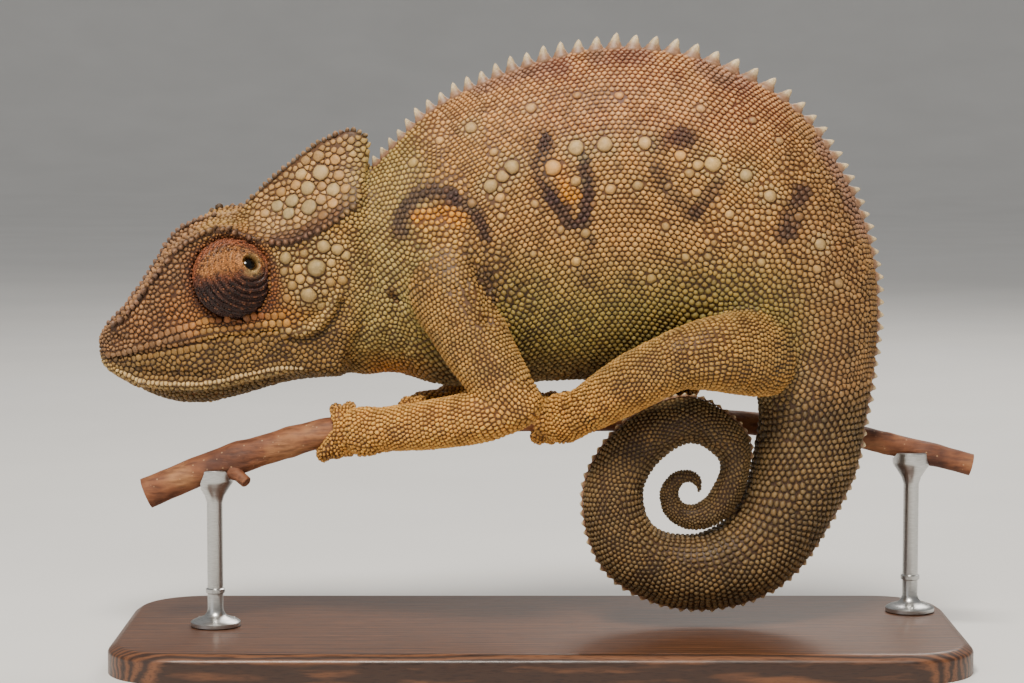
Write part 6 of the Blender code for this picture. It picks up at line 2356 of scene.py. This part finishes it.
    def thin_out(self, found: Sites, share: float = 0.80) -> Sites:
        """Keep each site, in order, only where the ones before it leave room."""
        grid: dict = {}
        keep = np.zeros(len(found.points), dtype=bool)
        keys = np.floor(found.points / self.cell).astype(int)
        points, reach = found.points.tolist(), found.reach.tolist()
        around = [tuple(step) for step in np.ndindex(3, 3, 3)]
        for i, (kx, ky, kz) in enumerate(keys.tolist()):
            px, py, pz = points[i]
            for dx, dy, dz in around:
                for j in grid.get((kx + dx - 1, ky + dy - 1, kz + dz - 1), ()):
                    qx, qy, qz = points[j]
                    limit = share * (reach[i] + reach[j])
                    if (px - qx) ** 2 + (py - qy) ** 2 + (pz - qz) ** 2 < limit * limit:
                        break
                else:
                    continue
                break
            else:
                keep[i] = True
                grid.setdefault((kx, ky, kz), []).append(i)
        return found.pick(keep)

    def fill(self, found: Sites) -> Sites:
        """Add sites on bare skin, taking size, lie and region from the nearest one."""
        bare = coordinates(self.skin.obj.data)
        bare = bare[np.random.default_rng(self.seed).permutation(len(bare))]
        tree = self.search_tree(found.points)
        near = np.empty(len(bare), dtype=int)
        reach = np.empty(len(bare))
        for i, point in enumerate(bare):
            _, near[i], reach[i] = tree.find(point)
        size = np.minimum(found.reach[near], self.filler)
        open_skin = reach > 0.76 * (size + found.reach[near])
        chosen = near[open_skin]
        extra = Sites(bare[open_skin], size[open_skin], found.ahead[chosen],
                      found.region[chosen], found.unwrap[chosen] + 0.004,
                      np.full(int(open_skin.sum()), KINDS.index(Kind.GRANULE)))
        extra = self.settle_on_skin(extra)
        return self.thin_out(Sites.joined([found, extra]), 0.76)

    @staticmethod
    def search_tree(points: np.ndarray) -> KDTree:
        """Make the search tree that finds the nearest of the points."""
        tree = KDTree(len(points))
        for i, point in enumerate(points):
            tree.insert(point, i)
        tree.balance()
        return tree

    def neighbours(self, points: np.ndarray, count: int) -> np.ndarray:
        """Numbers of the nearest other sites of each site."""
        tree = self.search_tree(points)
        found = np.empty((len(points), count), dtype=int)
        for i, point in enumerate(points):
            found[i] = [item[1] for item in tree.find_n(point, count + 1)[1:]]
        return found

    def relax(self, found: Sites, fixed: np.ndarray, rounds: int = 5) -> None:
        """Push crowded scales apart and draw them back to the skin."""
        for _ in range(rounds):
            near = self.neighbours(found.points, 8)
            gap = found.points[:, None, :] - found.points[near]
            length = np.linalg.norm(gap, axis=2)
            wanted = 0.99 * (found.reach[:, None] + found.reach[near])
            push = np.clip(wanted - length, 0.0, None) / np.maximum(length, 1e-6)
            move = np.sum(gap * push[:, :, None], axis=1) * 0.28
            move[fixed] = 0.0
            found.points = self.skin.nearest(found.points + move)[0]

    def ruffle(self, found: Sites, fixed: np.ndarray) -> None:
        """Make rows waver and sizes differ a little, as in a grown coat."""
        shift = np.stack([0.34 * hash_noise(found.points, 5.0, 30.0 + axis)
                          + 0.22 * (speckle(len(found.points), 31 + axis) - 0.5)
                          for axis in range(3)], axis=1)
        shift *= (found.reach / self.filler)[:, None]
        shift[fixed] = 0.0
        found.points = found.points + shift
        swell = 1.0 + 0.30 * (speckle(len(found.points), 36) - 0.5)
        found.reach = found.reach * np.where(fixed, 1.0, swell)

    def outlines(self, found: Sites, outs: np.ndarray, angles: np.ndarray) -> tuple:
        """Reach of each scale in each direction, up to the middle of the groove beside it.

        Args:
            found: the sites.
            outs: direction out of the skin at each site.
            angles: directions, sites by sides.

        Returns:
            The reaches and the two flat axes of each scale.
        """
        near = self.neighbours(found.points, 12)
        first = unit(found.ahead - outs * np.sum(found.ahead * outs, axis=1, keepdims=True))
        second = np.cross(outs, first)
        gap = found.points[near] - found.points[:, None, :]
        flat = np.stack((np.sum(gap * first[:, None, :], axis=2),
                         np.sum(gap * second[:, None, :], axis=2)), axis=2)
        facing = np.sum(outs[:, None, :] * outs[near], axis=2) > 0.1
        length = np.linalg.norm(flat, axis=2)
        use = facing & (length > 0.15)
        bias = found.reach[:, None] ** 2 - found.reach[near] ** 2
        middle = 0.5 * (length**2 + bias) / np.maximum(length, 1e-6)
        middle = np.clip(middle, 0.2 * length, 0.8 * length)
        heading = np.stack((np.cos(angles), np.sin(angles)), axis=2)
        towards = flat / np.maximum(length, 1e-6)[:, :, None]
        cosine = np.einsum("nkd,nmd->nmk", towards, heading)
        limit = np.where((cosine > 0.12) & use[:, None, :],
                         middle[:, None, :] / np.maximum(cosine, 0.12), 1e9)
        most = np.where(found.reach > self.large, 1.12, 1.42) * found.reach
        reach = np.minimum(limit.min(axis=2), most[:, None])
        wrinkle = fade(hash_noise(found.points, 3.4, 61.0), -0.1, 0.7)[:, None]
        groove = self.groove + self.row_groove * (0.7 + 1.9 * wrinkle) * np.abs(np.sin(angles))
        return np.maximum(reach - groove, 0.25 * found.reach[:, None]), first, second

    def raise_scales(self, found: Sites, name: str, sides: int, seed: int) -> bpy.types.Object:
        """Make the mesh of one stretch of scales from outlines already worked out."""
        form = turned(((0, 0), (1.0, 0), (1.0, self.shoulder_level), (1.0, self.upper_level),
                       (0, 1.0)), sides)
        flat = points_of(form)
        level = np.round(flat[:, 2], 2)
        turn = np.arctan2(flat[:, 1], flat[:, 0]) % math.tau
        slot = np.round(turn / (math.tau / sides)).astype(int) % sides
        on_axis = np.hypot(flat[:, 0], flat[:, 1]) < 0.5
        shape = np.array([kind.value for kind in KINDS])[found.kind]
        shoulder_r, shoulder_h, upper_r, upper_h, tall = shape.T
        count = len(found.points)
        vary = 0.88 + 0.24 * speckle(count, seed)
        height = tall * found.reach * vary + 0.12
        base_r = np.where(on_axis, 0.0, 1.0)[None, :] * np.ones((count, 1))
        is_shoulder, is_upper = level == self.shoulder_level, level == self.upper_level
        is_top = level == 1.0

        def by_level(top: float, upper: float, shoulder: float, foot: float) -> np.ndarray:
            """Give each point of the form the value of its level."""
            return np.select([is_top, is_upper, is_shoulder], [top, upper, shoulder], foot)
        ring_r = np.where(is_shoulder[None, :], shoulder_r[:, None], base_r)
        ring_r = np.where(is_upper[None, :], upper_r[:, None], ring_r)
        lift = np.where(is_shoulder[None, :], (shoulder_h * height)[:, None], -self.root)
        lift = np.where(is_upper[None, :], (upper_h * height)[:, None], lift)
        lift = np.where(is_top[None, :], height[:, None], lift)
        reach = self.reach_of[:, slot] * ring_r
        lean = 0.16 * found.reach[:, None] * np.clip(lift, 0, None) / height[:, None]
        angle = self.angle_of[:, slot]
        along = reach * np.cos(angle) + lean
        across = reach * np.sin(angle)
        placed = (found.points[:, None, :] + self.first_of[:, None, :] * along[:, :, None]
                  + self.second_of[:, None, :] * across[:, :, None]
                  + self.out_of[:, None, :] * lift[:, :, None])
        fine = sides == self.fine_sides
        if fine:
            bumps = hash_noise(placed.reshape(-1, 3), 0.8, 72.0).reshape(count, -1)
            bumps = bumps * by_level(0.18, 0.18, 0.18, 0.0) * np.minimum(found.reach, 2.0)[:, None]
            placed = placed + self.out_of[:, None, :] * bumps[:, :, None]
        obj = copies(form, placed, name)
        colour = self.scale_colours(found, seed)
        # Painted shade and highlight: each scale's foot ring is darkened as painted shade in the
        # groove, less so along its row, and its top is lightened as a painted highlight. Beads also
        # have pale tips of their own, and jaw beads get a softer painted shade.
        shade = by_level(1.10, 1.03, 0.84, 0.46) if fine else by_level(1.16, 1.02, 0.70, 0.32)
        shade = shade + by_level(0.0, 0.0, 0.14, 0.26) * np.cos(angle) ** 2
        bead, jaw = self.beads(found)
        shade = np.where(bead[:, None], by_level(2.1, 1.3, 0.6, 0.3), shade)
        shade = np.where(jaw[:, None], by_level(1.32, 1.2, 1.0, 0.66), shade)
        if fine:
            spots = hash_noise(placed.reshape(-1, 3), 0.55, 71.0).reshape(count, -1)
            shade = shade * (0.97 + 0.22 * spots)
        shown = np.minimum(colour[:, None, :] * shade[:, :, None], 0.82)
        lines = by_level(0.0, 0.06, 0.4, 0.7)
        red = (MARKINGS.red_lines(found.points)[:, None] * lines[None, :])[:, :, None]
        shown = shown * (1 - red) + linear(*self.lines) * red * 0.8
        paint(obj.data, shown.reshape(-1, 3))
        lay_patches(obj.data, found.unwrap, flat)
        return obj

    @staticmethod
    def beads(found: Sites) -> tuple:
        """Tell which sites are beads, and which of them lie along the jaw."""
        bead = found.of_kind(Kind.BEAD)
        return bead, bead & (found.points[:, 2] < JAW_TOP)

    def scale_colours(self, found: Sites, seed: int) -> np.ndarray:
        """Colour of each scale: the marking at its root, varied, with pale tubercles."""
        colour = MARKINGS.colour(found.points, found.region)
        count = len(colour)
        vary = 0.74 + 0.54 * speckle(count, seed + 1)
        # Scales are darker where the row grooves are widened, as painted shade of the skin's
        # wrinkles.
        vary *= 1.0 - 0.14 * fade(hash_noise(found.points, 3.4, 61.0), -0.1, 0.7)
        colour = colour * vary[:, None]
        warm = (speckle(count, seed + 2) - 0.5)[:, None]
        colour = colour * (1 + warm * np.array((0.10, 0.0, -0.16)))
        for centres, reach, tone in self.halos:
            away = np.linalg.norm(found.points[:, None, :] - centres[None, :, :], axis=2) / reach
            strength = 0.14 + 0.40 * fade(reach, 1.4, 2.1)
            share = (strength * fade(away, 2.7, 0.7)).max(axis=1)
            colour = blend(colour, tone, share)
        bead, jaw = self.beads(found)
        light = found.of_kind(Kind.PLATE) & (found.reach > 1.75)
        for where, tone, share in ((light, self.pale_plate, 0.38), (jaw, self.jaw_bead, 0.6),
                                   (bead & ~jaw, self.plum, 0.55)):
            colour = blend(colour, tone, where * share)
        return colour

    def build(self) -> None:
        """Place, pack, raise and dress all the scales."""
        found = self.packed()
        large = (found.reach > self.large) | found.of_kind(Kind.BEAD, Kind.LABIAL)
        fixed = large | (found.region < 0)
        self.ruffle(found, fixed)
        self.relax(found, fixed)
        outs = self.skin.nearest(found.points)[1]
        number = 0
        for region_number, region in enumerate(REGIONS):
            mine = found.region == region_number
            small = mine & ~large
            groups = [(mine & large, self.fine_sides, "_large")]
            sides = self.slender_sides if region in SLENDER else self.sides
            if small.sum() * sides * 6 > self.most:
                left = found.points[:, 1] < 0
                groups += [(small & left, sides, "_near"), (small & ~left, sides, "_far")]
            else:
                groups.append((small, sides, ""))
            for group, sides, ending in groups:
                chosen = np.nonzero(group)[0]
                if len(chosen):
                    number += 1
                    self.shape_outlines(found, outs, chosen, sides, number)
                    obj = self.raise_scales(found.pick(chosen), f"scales_{region.value}{ending}",
                                            sides, 100 + 10 * number)
                    settle(obj, self.finish)

    def packed(self) -> Sites:
        """All the sites on the skin, thinned out and filled up, the spines' places first."""
        crest = BODY.surface(self.crest, 1.0)
        room = sites(crest, 1.5, X_AXIS, Region.NECK, np.zeros((len(crest), 2)))
        room.points = self.skin.nearest(room.points)[0]
        room.region[:] = -1
        spots = self.spotted(FLANK_TUBERCLES, FLANKS, Kind.TUBERCLE)
        cheek = self.spotted(CHEEK_TUBERCLES, (Region.HEAD, Region.HEAD), Kind.TUBERCLE)
        plates = self.spotted(CASQUE_PLATES, (Region.HEAD, Region.HEAD), Kind.PLATE)
        self.halos = [(part.points, part.reach, CHEEK) for part in cheek]
        for tone in (CREAM, AMBER, STRAW):
            own = [row for row in FLANK_TUBERCLES if row[3] == tone]
            for side in (-1, 1):
                hits = [self.skin.seen_at(x, z, side) for x, z, _, _ in own]
                self.halos.append((np.array(hits), np.array([row[2] for row in own]), tone))
        specials = self.settle_on_skin(Sites.joined(cheek + plates + spots + self.head_specials()))
        rows = [part for stretch in self.stretches for part in self.body_rows(*stretch)]
        rows += self.tail_rings() + self.limb_rings() + self.head_scatter()
        plain = self.settle_on_skin(Sites.joined(rows))
        found = Sites.joined([room, self.thin_out(specials, 0.7), plain])
        return self.fill(self.thin_out(found))

    def shape_outlines(self, found: Sites, outs: np.ndarray, chosen: np.ndarray, sides: int,
                       seed: int) -> None:
        """Work out the outlines of the chosen scales among all of them."""
        start = speckle(len(found.points), 70 + seed) * math.tau
        angles = start[:, None] + np.arange(sides)[None, :] * math.tau / sides
        reach, first, second = self.outlines(found, outs, angles)
        self.reach_of, self.angle_of = reach[chosen], angles[chosen]
        self.first_of, self.second_of, self.out_of = first[chosen], second[chosen], outs[chosen]

    def __post_init__(self) -> None:
        """Prepare the finish that every stretch shares."""
        self.finish = SkinFinish("scales").make()
        self.halos: list = []


FLESH = tuple(["head", "lower_jaw", "neck", "torso"]
              + [f"{part}_{side}" for side in ("left", "right")
                 for part in ("upper_arm", "forearm", "hand", "thigh", "shank", "foot")]
              + [f"tail_{i}" for i in range(1, 11)])


def main() -> None:
    """Build every piece in order."""
    logging.basicConfig(level=logging.INFO, format="%(message)s")
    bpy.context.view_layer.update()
    Studio().build()
    skin = Skin()
    skin.build()
    skin.colour()
    settle(skin.obj, SkinFinish().make(), FLESH)
    for side, label in ((-1.0, "left"), (1.0, "right")):
        EyeTurret(side, label).build()
    crest = DorsalCrest()
    crest.build()
    ScaleCoat(skin, crest.places).build()
    Claws().build()
    Perch().build()
    Stand().build()


if __name__ == "__main__":
    main()
